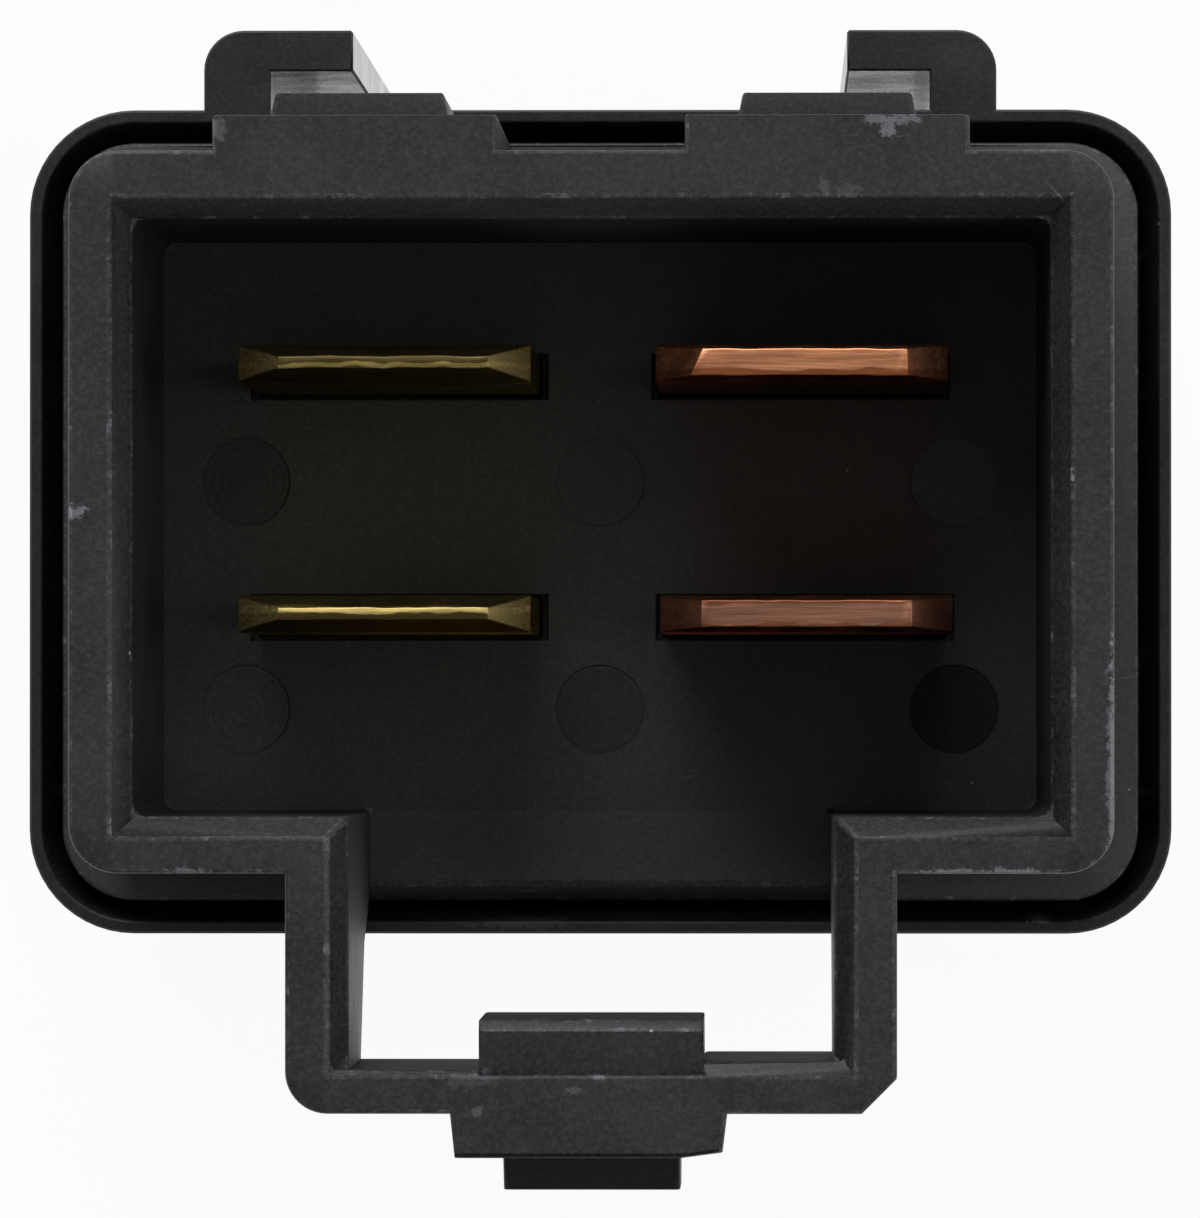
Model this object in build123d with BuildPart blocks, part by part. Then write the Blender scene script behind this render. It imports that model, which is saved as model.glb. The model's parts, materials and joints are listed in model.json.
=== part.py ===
from build123d import *
from math import atan, cos, degrees, radians, sin
import os

os.makedirs("parts", exist_ok=True)

# Plug-in automotive relay with four blades, in millimetres.
# It stands on the closed end of its cover, with the socket upward (+Z). X runs across the
# socket, +Y points to the bracket hooks, and the origin is the centre of the closed end.

# Cover
cover_length = 25.64
cover_width = 18.5
cover_height = 25.0
cover_corner = 2.35
cover_wall = 0.66
cover_end_wall = 1.0
cover_end_chamfer = 0.45
mouth_bevel_width = 0.38
mouth_bevel_depth = 1.4
seat_rib_width = 1.2
seat_rib_depth = 0.9
seat_rib_inset = 3.2

# Bracket hooks on the cover
hook_span = 17.8
hook_leg = 1.5
hook_rise = 1.79
hook_arm = 0.92
hook_arm_length = 3.35
hook_corner = 0.9
hook_start = 1.0

# Snap windows in the cover and the base's lugs in them
lug_width = 3.0
lug_height = 1.0
lug_reach = 0.5
lug_spacing = 9.0
lug_below_mouth = 2.3
window_clearance = 0.15

# Base plate
base_clearance = 0.08
base_thickness = 2.9
channel_bevel = 0.38

# Connector shroud around the socket
socket_depth = 12.0
shroud_length = 22.26
shroud_width = 15.4
shroud_corner = 1.05
shroud_side_wall = 1.34
shroud_top_wall = 1.44
shroud_bottom_wall = 1.21
socket_corner = 0.3
lead_in = 0.43
lead_in_depth = 0.55

# Coding ribs on the shroud's top, with a raised key on each
rib_inner = 2.0
rib_outer = 8.06
rib_inset = 0.06
key_inner = 3.1
key_outer = 7.0
key_rise = 0.65
key_start = 3.0
key_foot_gap = 0.4
key_end_slope = 0.13

# Latch loop and its lock block
loop_span = 13.02
loop_wall = 1.34
loop_reach = 5.11
loop_bar = 0.83
loop_depth = 7.0
loop_gusset_depth = 9.0
loop_round = 0.9
loop_chamfer = 0.75
loop_lip_left = 0.1
loop_lip_right = 0.27
rim_gap = 0.2
lock_width = 4.78
lock_tooth = 1.18
lock_tooth_depth = 5.2
lock_recess = 0.25
lock_ramp = 0.25
lock_ramp_depth = 0.36
lock_pad_width = 5.8
lock_pad_rise = 0.94
lock_taper = 0.1
lock_slant = 0.12
lock_grip_width = 3.78
lock_grip_rise = 0.75
lock_grip_start = 0.9
lock_grip_depth = 4.6

# Blade terminals
blade_width = 6.3
sheet = 0.8
blade_length = 10.0
tip_length = 1.0
tip_width = 4.52
brass_tip_flat = 0.26
copper_tip_flat = 0.58
blade_pitch = 9.0
row_pitch = 5.4
upper_row_y = 3.25
common_blade_shift = 0.1
slot_clearance = 0.05
slot_mouth_length = 6.7
slot_mouth_width = 1.05
slot_mouth_depth = 0.8
pocket_clearance = 0.1
bend_share = 0.95

# Round marks of the ejector pins on the socket floor
pin_mark_radius = 1.0
pin_mark_depth = 0.06
pin_mark_pitch = 7.95
pin_mark_row_pitch = 5.1
pin_mark_y = -1.66

# Magnet: yoke, core, bobbin and winding
yoke_room = 1.46
yoke_sheet = 1.5
yoke_width = 9.6
yoke_reach = 4.4
yoke_bend = 1.5
core_share = 0.5
core_shoulder = 0.95
pole_inset = 1.5
pole_thickness = 1.2
pole_height = 4.0
bobbin_clearance = 0.05
bobbin_wall = 0.9
flange = 1.0
flange_corner = 1.2
winding_inset = 0.25
fit_clearance = 0.03

# Common strap, from the common blade to the core
strap_width = 4.2
strap_end = 3.0

# Armature with its leaf spring and contacts
hinge_inset = 0.4
armature_open_angle = 3.2
armature_travel = 2.9
armature_sheet = 1.3
armature_gap = 4.8
armature_width = 9.0
armature_neck = 7.4
armature_neck_length = 2.4
armature_corner = 1.0
leaf_sheet = 0.25
leaf_width = 6.0
leaf_tongue = 4.2
leaf_overrun = 1.9
leaf_drop = 5.8
leaf_bend = 0.4
contact_room_share = 0.14
contact_radius = 1.6
contact_height = 0.8
contact_shank = 1.1
contact_tail = 0.35
contact_tail_radius = 1.4
contact_touch = 0.012

# Rivets of the leaf spring
rivet_radius = 0.75
rivet_head_radius = 1.2
rivet_head = 0.45
yoke_rivet_drop = 8.8
yoke_rivet_spacing = 3.4
armature_rivet_spacing = 4.4

# Load terminal and stop bracket
load_strip_share = 0.144
load_strip_shoulder = 1.2
stop_sheet = 0.6
stop_width = 3.0
stop_room_share = 0.048
stop_foot_length = 5.1
stop_pocket_depth = 1.5

# Coil terminals, their wires and the resistor across them
coil_strip_gap = 0.2
coil_strip_width = 2.0
coil_blade_foot = 1.3
tail_room = 0.89
tail_drop = 4.6
resistor_gap = 0.25
resistor_drop = 3.6
resistor_radius = 1.2
resistor_length = 6.5
lead_radius = 0.3
lead_overrun = 0.2
lead_room = 1.0
wire_radius = 0.175
wire_drop = 7.1
solder_margin = 0.3

# Heights and outlines that follow from the sizes above
socket_floor = cover_height
rim_z = socket_floor + socket_depth
base_underside = socket_floor - base_thickness
inner_length = cover_length - 2 * cover_wall
inner_width = cover_width - 2 * cover_wall
inner_corner = cover_corner - cover_wall
platform_length = inner_length - 2 * base_clearance
platform_width = inner_width - 2 * base_clearance
platform_corner = inner_corner - base_clearance
shroud_top_y = shroud_width / 2
shroud_bottom_y = -shroud_width / 2
socket_half = shroud_length / 2 - shroud_side_wall
socket_top_y = shroud_top_y - shroud_top_wall
socket_bottom_y = shroud_bottom_y + shroud_bottom_wall
loop_half = loop_span / 2
channel_half = loop_half - loop_wall
loop_bottom_y = shroud_bottom_y - loop_reach
bar_inner_y = loop_bottom_y + loop_bar
loop_bottom_z = rim_z - loop_depth
lug_z = cover_height - lug_below_mouth
lower_row_y = upper_row_y - row_pitch
blade_tip_z = socket_floor + blade_length
coil_blade_x = -blade_pitch / 2
load_blade_x = blade_pitch / 2
common_blade_x = load_blade_x + common_blade_shift
strap_z = base_underside - sheet
coil_strip_z = base_underside + coil_strip_gap
coil_strip_top = coil_strip_z + sheet
tail_outer_y = inner_width / 2 - tail_room
tail_inner_y = tail_outer_y - sheet
tail_end_z = base_underside - tail_drop
resistor_z = base_underside - resistor_drop
wire_z = base_underside - wire_drop
stop_strip_x = inner_length * (0.5 - stop_room_share) - stop_sheet
contact_x = stop_strip_x - inner_length * contact_room_share
load_strip_width = inner_length * load_strip_share
resistor_limit_x = contact_x - load_strip_width / 2 - resistor_gap
yoke_outer_x = yoke_room - inner_length / 2
yoke_top_z = strap_z
yoke_plate_z = yoke_top_z - yoke_sheet
yoke_rivet_z = yoke_top_z - yoke_rivet_drop
leaf_top_z = yoke_top_z - leaf_drop
pole_z = cover_end_wall + pole_height
pole_top_z = pole_z + pole_thickness
hinge_x = yoke_outer_x + hinge_inset
hinge_z = pole_z
yoke_foot_z = hinge_z + fit_clearance
flange_left = yoke_outer_x + yoke_sheet + bobbin_clearance
flange_limit_x = resistor_limit_x - 2 * resistor_radius - resistor_gap
flange_size = min(flange_limit_x - flange_left, 2 * (tail_inner_y - lead_room))
coil_x = flange_left + flange_size / 2
resistor_x = flange_left + flange_size + resistor_gap + resistor_radius
winding_radius = flange_size / 2 - winding_inset
core_radius = winding_radius * core_share
core_neck_radius = core_radius - core_shoulder
pole_radius = winding_radius - pole_inset
bobbin_bore = core_radius + bobbin_clearance
bobbin_tube = bobbin_bore + bobbin_wall
leaf_depth = armature_sheet + leaf_sheet
contact_along = contact_x - hinge_x
armature_length = contact_along - armature_gap
leaf_length = contact_along + leaf_overrun
touch_angle = radians(armature_open_angle - armature_travel)
contact_top_depth = armature_sheet - contact_height
contact_face_z = (
    hinge_z
    - sin(touch_angle) * (contact_along - contact_radius)
    - cos(touch_angle) * contact_top_depth
    + contact_touch
)
load_plate_z = contact_face_z + contact_height
stop_foot_z = (
    hinge_z
    - sin(radians(armature_open_angle)) * (contact_along + contact_tail_radius)
    - cos(radians(armature_open_angle)) * (leaf_depth + contact_tail)
    - fit_clearance
)
armature_plane = Plane(
    origin=(hinge_x, 0, hinge_z),
    x_dir=(cos(radians(armature_open_angle)), 0, -sin(radians(armature_open_angle))),
    z_dir=(sin(radians(armature_open_angle)), 0, cos(radians(armature_open_angle))),
)


def blade(x, y, foot_z, tip_flat):
    """A sheet blade from foot_z up to the tip, which narrows on all four sides."""
    with BuildPart() as made:
        with BuildSketch(Plane.XY.offset(foot_z)):
            with Locations((x, y)):
                Rectangle(blade_width, sheet)
        extrude(amount=blade_tip_z - tip_length - foot_z)
        with BuildSketch(Plane.XY.offset(blade_tip_z - tip_length)):
            with Locations((x, y)):
                Rectangle(blade_width, sheet)
        with BuildSketch(Plane.XY.offset(blade_tip_z)):
            with Locations((x, y)):
                Rectangle(tip_width, tip_flat)
        loft()
    return made.part


def rivet(plane, head_radius, head_height, shank_radius, grip, tail_radius, tail_height):
    """A rivet along the plane's normal: its head below the plane, its grip and tail above."""
    with BuildPart() as made:
        with BuildSketch(plane.offset(-head_height)):
            Circle(head_radius)
        extrude(amount=head_height)
        with BuildSketch(plane):
            Circle(shank_radius)
        extrude(amount=grip)
        if tail_height > 0:
            with BuildSketch(plane.offset(grip)):
                Circle(tail_radius)
            extrude(amount=tail_height)
    return made.part


def block(x_range, y_range, z_range):
    """A square-edged solid between two limits on each axis, for pockets and straight strips."""
    with BuildPart() as made:
        with BuildSketch(Plane.XY.offset(z_range[0])):
            with Locations(((x_range[0] + x_range[1]) / 2, (y_range[0] + y_range[1]) / 2)):
                Rectangle(x_range[1] - x_range[0], y_range[1] - y_range[0])
        extrude(amount=z_range[1] - z_range[0])
    return made.part


def side_profile(points, half_width):
    """A solid with the given outline in the YZ plane, as wide as twice half_width along X."""
    with BuildPart() as made:
        with BuildSketch(Plane.YZ):
            with BuildLine():
                Polyline(*points, close=True)
            make_face()
        extrude(amount=half_width, both=True)
    return made.part


def open_point(along, depth):
    """X and Z of a point on the open armature, along it from the hinge and below its face."""
    tilt = radians(armature_open_angle)
    return (
        hinge_x + along * cos(tilt) - depth * sin(tilt),
        hinge_z - along * sin(tilt) - depth * cos(tilt),
    )


def on_armature(along, y, depth, facing):
    """A plane parallel to the open armature, with its normal up (facing 1) or down (-1)."""
    x, z = open_point(along, depth)
    return Plane(origin=(x, y, z), x_dir=armature_plane.x_dir, z_dir=armature_plane.z_dir * facing)


def round_bar(points, radius):
    """A round wire along straight runs, mitred at its corners."""
    with BuildPart() as made:
        with BuildLine() as path:
            Polyline(*points)
        with BuildSketch(Plane(origin=path.wire() @ 0, z_dir=path.wire() % 0)):
            Circle(radius)
        sweep(transition=Transition.RIGHT)
    return made.part


def front_profile(points, y_centre, width):
    """A solid with the given outline in the XZ plane, centred on y_centre along Y."""
    with BuildPart() as made:
        with BuildSketch(Plane.XZ.offset(-y_centre)):
            with BuildLine():
                Polyline(*points, close=True)
            make_face()
        extrude(amount=width / 2, both=True)
    return made.part


# Cover: a moulded cup with bracket hooks on its top side and a bevelled mouth

with BuildPart() as cover:
    with BuildSketch():
        RectangleRounded(cover_length, cover_width, cover_corner)
    extrude(amount=cover_height)
    chamfer(cover.edges().group_by(Axis.Z)[0], cover_end_chamfer)

    # Hooks, each a leg with an arm turned inward over the bracket channel
    with BuildSketch(Plane.XY.offset(hook_start)) as hook:
        root_y = cover_width / 2 - cover_wall / 2
        top_y = cover_width / 2 + hook_rise
        leg_outer = hook_span / 2
        with BuildLine():
            Polyline(
                (leg_outer, root_y),
                (leg_outer, top_y),
                (leg_outer - hook_arm_length, top_y),
                (leg_outer - hook_arm_length, top_y - hook_arm),
                (leg_outer - hook_leg, top_y - hook_arm),
                (leg_outer - hook_leg, root_y),
                close=True,
            )
        make_face()
        fillet(hook.vertices().group_by(Axis.Y)[-1].sort_by(Axis.X)[-1], hook_corner)
        mirror(about=Plane.YZ)
    extrude(amount=cover_height - hook_start)

    # Cavity, with a steep bevel at the mouth
    with BuildSketch(Plane.XY.offset(cover_end_wall)):
        RectangleRounded(inner_length, inner_width, inner_corner)
    extrude(amount=cover_height - cover_end_wall, mode=Mode.SUBTRACT)
    with BuildSketch(Plane.XY.offset(cover_height - mouth_bevel_depth)):
        RectangleRounded(inner_length, inner_width, inner_corner)
    with BuildSketch(Plane.XY.offset(cover_height)):
        RectangleRounded(
            inner_length + 2 * mouth_bevel_width,
            inner_width + 2 * mouth_bevel_width,
            inner_corner + mouth_bevel_width,
        )
    loft(mode=Mode.SUBTRACT)

    # Ribs inside, which the base sits on
    with BuildSketch(Plane.XY.offset(cover_end_wall)):
        with GridLocations(
            inner_length - 2 * seat_rib_inset,
            inner_width - seat_rib_depth,
            2,
            2,
        ):
            Rectangle(seat_rib_width, seat_rib_depth)
    extrude(amount=base_underside - cover_end_wall)

    # Snap windows through both ends
    with BuildSketch(Plane.YZ):
        with Locations((-lug_spacing / 2, lug_z), (lug_spacing / 2, lug_z)):
            Rectangle(lug_width + 2 * window_clearance, lug_height + 2 * window_clearance)
    extrude(amount=cover_length, both=True, mode=Mode.SUBTRACT)

cover.part.label = "cover"
export_step(cover.part, "parts/cover.step")

# Base: platform, connector shroud, coding ribs and latch loop in one moulding

with BuildPart() as base:
    with BuildSketch(Plane.XY.offset(base_underside)):
        RectangleRounded(platform_length, platform_width, platform_corner)
    extrude(amount=base_thickness)

    # Shroud and coding ribs, up to the rim
    with BuildSketch(Plane.XY.offset(socket_floor)):
        RectangleRounded(shroud_length, shroud_width, shroud_corner)
        rib_top_y = platform_width / 2 - rib_inset
        for side in (-1, 1):
            with Locations((side * (rib_inner + rib_outer) / 2, (rib_top_y + socket_top_y) / 2)):
                Rectangle(rib_outer - rib_inner, rib_top_y - socket_top_y)
    extrude(amount=socket_depth)

    # Bevel on the platform's edge where the latch channel crosses it
    add(
        side_profile(
            [
                (channel_bevel - platform_width / 2, socket_floor),
                (-platform_width / 2, socket_floor - channel_bevel),
                (-platform_width / 2, socket_floor),
            ],
            channel_half,
        ),
        mode=Mode.SUBTRACT,
    )

    # Raised keys on the ribs, drafted at both ends, clear of the cover's rim
    for side in (-1, 1):
        key_z = socket_floor + key_foot_gap
        with BuildSketch(Plane.XY.offset(key_z)):
            with BuildLine():
                Polyline(
                    (side * key_inner, rib_top_y),
                    (side * (key_inner + key_end_slope), rib_top_y + key_rise),
                    (side * (key_outer - key_end_slope), rib_top_y + key_rise),
                    (side * key_outer, rib_top_y),
                    close=True,
                )
            make_face()
        extrude(amount=rim_z - key_start - key_z)

    # Latch loop, whose underside slopes up from the platform's edge to the bar
    with BuildSketch(Plane.XY.offset(socket_floor)) as loop:
        with Locations((0, (loop_bottom_y + socket_bottom_y) / 2)):
            Rectangle(loop_span, socket_bottom_y - loop_bottom_y)
        fillet(loop.vertices().group_by(Axis.Y)[0].sort_by(Axis.X)[0], loop_round)
        chamfer(loop.vertices().group_by(Axis.Y)[0].sort_by(Axis.X)[-1], loop_chamfer)
    extrude(amount=socket_depth)
    edge_y = -platform_width / 2
    add(
        side_profile(
            [
                (edge_y, socket_floor),
                (edge_y, socket_floor + rim_gap),
                (-cover_width / 2 - rim_gap, rim_z - loop_gusset_depth),
                (bar_inner_y, loop_bottom_z),
                (loop_bottom_y - 1, loop_bottom_z),
                (loop_bottom_y - 1, socket_floor),
            ],
            loop_half,
        ),
        mode=Mode.SUBTRACT,
    )

    # Socket and latch channel, with a lead-in round the rim
    with BuildSketch(Plane.XY.offset(socket_floor)) as socket:
        with Locations((0, (socket_top_y + socket_bottom_y) / 2)):
            Rectangle(2 * socket_half, socket_top_y - socket_bottom_y)
        fillet(socket.vertices(), socket_corner)
        with Locations((0, (bar_inner_y + socket_bottom_y) / 2)):
            Rectangle(2 * channel_half, socket_bottom_y - bar_inner_y)
    extrude(amount=socket_depth, mode=Mode.SUBTRACT)
    with BuildSketch(Plane.XY.offset(rim_z)):
        with Locations((0, (socket_top_y + socket_bottom_y) / 2)):
            Rectangle(2 * (socket_half + lead_in), socket_top_y - socket_bottom_y + 2 * lead_in)
        with Locations((0, (bar_inner_y + socket_bottom_y) / 2)):
            Rectangle(2 * (channel_half + lead_in), socket_bottom_y - bar_inner_y)
    extrude(amount=-lead_in_depth, taper=degrees(atan(lead_in / lead_in_depth)), mode=Mode.SUBTRACT)

    # Bevelled lips on the bar's inner face, the right one thicker
    bar_middle_y = bar_inner_y - loop_bar / 2
    for side, lip in ((-1, loop_lip_left), (1, loop_lip_right)):
        with BuildSketch(Plane.YZ.offset(side * lock_width / 2)):
            with BuildLine():
                Polyline(
                    (bar_middle_y, loop_bottom_z),
                    (bar_inner_y + lip, loop_bottom_z),
                    (bar_inner_y + lip, rim_z - lip),
                    (bar_inner_y, rim_z),
                    (bar_middle_y, rim_z),
                    close=True,
                )
            make_face()
        extrude(amount=side * (loop_half - loop_wall / 2 - lock_width / 2))

    # Lock block: a tooth towards the socket, a pad below the bar and a grip under the pad
    pad_y = loop_bottom_y - lock_pad_rise
    tooth_y = bar_inner_y + lock_tooth
    add(
        side_profile(
            [
                (bar_middle_y, rim_z - lock_recess),
                (bar_inner_y, rim_z - lock_recess),
                (tooth_y - lock_ramp, rim_z - lock_recess / 2),
                (tooth_y, rim_z - lock_ramp_depth),
                (tooth_y, rim_z - lock_tooth_depth),
                (bar_middle_y, rim_z - lock_tooth_depth - lock_tooth),
            ],
            lock_width / 2,
        )
    )
    pad_half = lock_pad_width / 2
    with BuildSketch(Plane.XY.offset(loop_bottom_z)):
        with BuildLine():
            Polyline(
                (-pad_half - lock_taper, bar_middle_y),
                (-pad_half - lock_taper, loop_bottom_y),
                (-pad_half, pad_y),
                (lock_grip_width / 2, pad_y),
                (pad_half - lock_taper, pad_y + lock_slant),
                (pad_half, loop_bottom_y),
                (pad_half, bar_middle_y),
                close=True,
            )
        make_face()
    extrude(amount=loop_depth)
    add(
        side_profile(
            [
                (loop_bottom_y, rim_z - lock_grip_start),
                (pad_y, rim_z - lock_grip_start),
                (pad_y - lock_grip_rise, rim_z - lock_grip_start - lock_grip_rise),
                (pad_y - lock_grip_rise, rim_z - lock_grip_start - lock_grip_depth + lock_grip_rise),
                (pad_y, rim_z - lock_grip_start - lock_grip_depth),
                (loop_bottom_y, rim_z - lock_grip_start - lock_grip_depth),
            ],
            lock_grip_width / 2,
        )
    )

    # Slots for the blades, each with a wider mouth in the socket floor
    blade_places = [
        (coil_blade_x, upper_row_y),
        (coil_blade_x, lower_row_y),
        (load_blade_x, upper_row_y),
        (common_blade_x, lower_row_y),
    ]
    with BuildSketch(Plane.XY.offset(base_underside)):
        with Locations(*blade_places):
            Rectangle(blade_width + 2 * slot_clearance, sheet + 2 * slot_clearance)
    extrude(amount=base_thickness, mode=Mode.SUBTRACT)
    with BuildSketch(Plane.XY.offset(socket_floor)):
        with Locations(*blade_places):
            Rectangle(slot_mouth_length, slot_mouth_width)
    extrude(amount=-slot_mouth_depth, mode=Mode.SUBTRACT)

    # Round marks of the ejector pins
    with BuildSketch(Plane.XY.offset(socket_floor)):
        with Locations((0, pin_mark_y)):
            with GridLocations(pin_mark_pitch, pin_mark_row_pitch, 3, 2):
                Circle(pin_mark_radius)
    extrude(amount=-pin_mark_depth, mode=Mode.SUBTRACT)

    # Pockets in the underside for the coil strips and the stop bracket
    strip_left = coil_x - coil_strip_width / 2 - pocket_clearance
    strip_right = coil_x + coil_strip_width / 2 + pocket_clearance
    for side, row_y in ((1, upper_row_y), (-1, lower_row_y)):
        foot_left = coil_blade_x - blade_width / 2 - pocket_clearance
        foot_right = coil_blade_x + blade_width / 2 + pocket_clearance
        inner = row_y - side * (sheet / 2 + pocket_clearance)
        foot_outer = row_y + side * (sheet / 2 + coil_blade_foot + pocket_clearance)
        strip_outer = side * (tail_outer_y + pocket_clearance)
        for left, right, outer in (
            (foot_left, foot_right, foot_outer),
            (strip_left, strip_right, strip_outer),
        ):
            add(
                block(
                    (left, right),
                    (min(inner, outer), max(inner, outer)),
                    (base_underside, coil_strip_top),
                ),
                mode=Mode.SUBTRACT,
            )
    add(
        block(
            (stop_strip_x - pocket_clearance, stop_strip_x + stop_sheet + pocket_clearance),
            (-stop_width / 2 - pocket_clearance, stop_width / 2 + pocket_clearance),
            (base_underside, base_underside + stop_pocket_depth),
        ),
        mode=Mode.SUBTRACT,
    )

    # Snap lugs on both ends, ramped on the side that enters the cover first
    for side in (-1, 1):
        face_x = side * platform_length / 2
        for lug_y in (-lug_spacing / 2, lug_spacing / 2):
            add(
                front_profile(
                    [
                        (face_x - side * lug_reach, lug_z - lug_height / 2),
                        (face_x, lug_z - lug_height / 2),
                        (face_x + side * lug_reach, lug_z + lug_height / 4),
                        (face_x + side * lug_reach, lug_z + lug_height / 2),
                        (face_x - side * lug_reach, lug_z + lug_height / 2),
                    ],
                    lug_y,
                    lug_width,
                )
            )

base.part.label = "base"
export_step(base.part, "parts/base.step")

# Magnet frame: an L of steel sheet, its foot the armature's bearing

with BuildPart() as yoke:
    with BuildSketch(Plane.XZ) as yoke_side:
        plate_end_x = coil_x + yoke_reach
        with BuildLine():
            Polyline(
                (yoke_outer_x, yoke_foot_z),
                (yoke_outer_x, yoke_top_z),
                (plate_end_x, yoke_top_z),
                (plate_end_x, yoke_plate_z),
                (yoke_outer_x + yoke_sheet, yoke_plate_z),
                (yoke_outer_x + yoke_sheet, yoke_foot_z),
                close=True,
            )
        make_face()
        fillet(yoke_side.vertices().group_by(Axis.Y)[-1].sort_by(Axis.X)[0], yoke_bend)
    extrude(amount=yoke_width / 2, both=True)
    with BuildSketch(Plane.XY.offset(yoke_top_z)):
        with Locations((coil_x, 0)):
            Circle(core_neck_radius + fit_clearance)
    extrude(amount=-yoke_sheet, mode=Mode.SUBTRACT)
    with BuildSketch(Plane.YZ.offset(yoke_outer_x)):
        with Locations((-yoke_rivet_spacing / 2, yoke_rivet_z), (yoke_rivet_spacing / 2, yoke_rivet_z)):
            Circle(rivet_radius + fit_clearance)
    extrude(amount=yoke_sheet, mode=Mode.SUBTRACT)

yoke.part.label = "yoke"
export_step(yoke.part, "parts/yoke.step")

# Core: pole disc, shank in the bobbin, and a neck riveted through the yoke and the strap

with BuildPart() as core:
    with BuildSketch(Plane.XZ):
        with BuildLine():
            Polyline(
                (coil_x, pole_z),
                (coil_x + pole_radius, pole_z),
                (coil_x + pole_radius, pole_top_z),
                (coil_x + core_radius, pole_top_z),
                (coil_x + core_radius, yoke_plate_z),
                (coil_x + core_neck_radius, yoke_plate_z),
                (coil_x + core_neck_radius, base_underside),
                (coil_x, base_underside),
                close=True,
            )
        make_face()
    revolve(axis=Axis((coil_x, 0, 0), (0, 0, 1)))
    chamfer(core.faces().sort_by(Axis.Z)[0].edges(), pole_thickness / 5)

core.part.label = "core"
export_step(core.part, "parts/core.step")

# Bobbin: tube with two square flanges, between the pole disc and the yoke

with BuildPart() as bobbin:
    with BuildSketch(Plane.XY.offset(pole_top_z)):
        with Locations((coil_x, 0)):
            Circle(bobbin_tube)
    extrude(amount=yoke_plate_z - pole_top_z)
    for flange_z in (pole_top_z, yoke_plate_z - flange):
        with BuildSketch(Plane.XY.offset(flange_z)):
            with Locations((coil_x, 0)):
                RectangleRounded(flange_size, flange_size, flange_corner)
        extrude(amount=flange)
    with BuildSketch(Plane.XY.offset(pole_top_z)):
        with Locations((coil_x, 0)):
            Circle(bobbin_bore)
    extrude(amount=yoke_plate_z - pole_top_z, mode=Mode.SUBTRACT)

bobbin.part.label = "bobbin"
export_step(bobbin.part, "parts/bobbin.step")

# Winding: all its turns as one solid between the flanges

with BuildPart() as coil_winding:
    with BuildSketch(Plane.XY.offset(pole_top_z + flange)):
        with Locations((coil_x, 0)):
            Circle(winding_radius)
            Circle(bobbin_tube + fit_clearance, mode=Mode.SUBTRACT)
    extrude(amount=yoke_plate_z - pole_top_z - 2 * flange)

coil_winding.part.label = "coil_winding"
export_step(coil_winding.part, "parts/coil_winding.step")

# Armature: a steel plate, modelled open on its own tilted plane, with its hinge edge at the
# plane's origin and its upper face on the plane

with BuildPart() as armature:
    with BuildSketch(armature_plane.offset(-armature_sheet)) as plate:
        with BuildLine():
            Polyline(
                (0, -armature_neck / 2),
                (armature_neck_length, -armature_neck / 2),
                (armature_neck_length, -armature_width / 2),
                (armature_length, -armature_width / 2),
                (armature_length, armature_width / 2),
                (armature_neck_length, armature_width / 2),
                (armature_neck_length, armature_neck / 2),
                (0, armature_neck / 2),
                close=True,
            )
        make_face()
        fillet(plate.vertices().group_by(Axis.X)[-1], armature_corner)
    extrude(amount=armature_sheet)
    with BuildSketch(armature_plane):
        with Locations(
            ((coil_x - hinge_x), -armature_rivet_spacing / 2),
            ((coil_x - hinge_x), armature_rivet_spacing / 2),
        ):
            Circle(rivet_radius + fit_clearance)
    extrude(amount=-armature_sheet, mode=Mode.SUBTRACT)

armature.part.label = "armature"
export_step(armature.part, "parts/armature.step")

# Contact spring: a leaf down the yoke's back, bent under the armature, with a narrower tongue

with BuildPart() as contact_spring:
    leaf_x = yoke_outer_x - leaf_sheet / 2
    leaf_mid = armature_sheet + leaf_sheet / 2
    tilt = radians(armature_open_angle)
    bend_along = (leaf_x - hinge_x + leaf_mid * sin(tilt)) / cos(tilt)
    with BuildSketch(Plane.XZ):
        with BuildLine():
            FilletPolyline(
                (leaf_x, leaf_top_z),
                open_point(bend_along, leaf_mid),
                open_point(leaf_length, leaf_mid),
                radius=leaf_bend,
            )
        trace(line_width=leaf_sheet)
    extrude(amount=leaf_width / 2, both=True)
    with BuildSketch(armature_plane.offset(-leaf_depth - leaf_sheet)):
        notch_start = armature_length + leaf_sheet
        notch_length = leaf_length - notch_start + leaf_sheet
        notch_width = (leaf_width - leaf_tongue) / 2
        for side in (-1, 1):
            with Locations(
                (notch_start + notch_length / 2, side * (leaf_tongue + notch_width) / 2)
            ):
                Rectangle(notch_length, notch_width)
    extrude(amount=3 * leaf_sheet, mode=Mode.SUBTRACT)
    with BuildSketch(armature_plane.offset(-leaf_depth - leaf_sheet)):
        for side in (-1, 1):
            with Locations((coil_x - hinge_x, side * armature_rivet_spacing / 2)):
                Circle(rivet_radius + fit_clearance)
        with Locations((contact_along, 0)):
            Circle(contact_shank + fit_clearance)
    extrude(amount=3 * leaf_sheet, mode=Mode.SUBTRACT)
    with BuildSketch(Plane.YZ.offset(yoke_outer_x)):
        for side in (-1, 1):
            with Locations((side * yoke_rivet_spacing / 2, yoke_rivet_z)):
                Circle(rivet_radius + fit_clearance)
    extrude(amount=-leaf_sheet, mode=Mode.SUBTRACT)

contact_spring.part.label = "contact_spring"
export_step(contact_spring.part, "parts/contact_spring.step")

# Rivets: the leaf on the yoke, and the armature on the leaf

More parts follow.
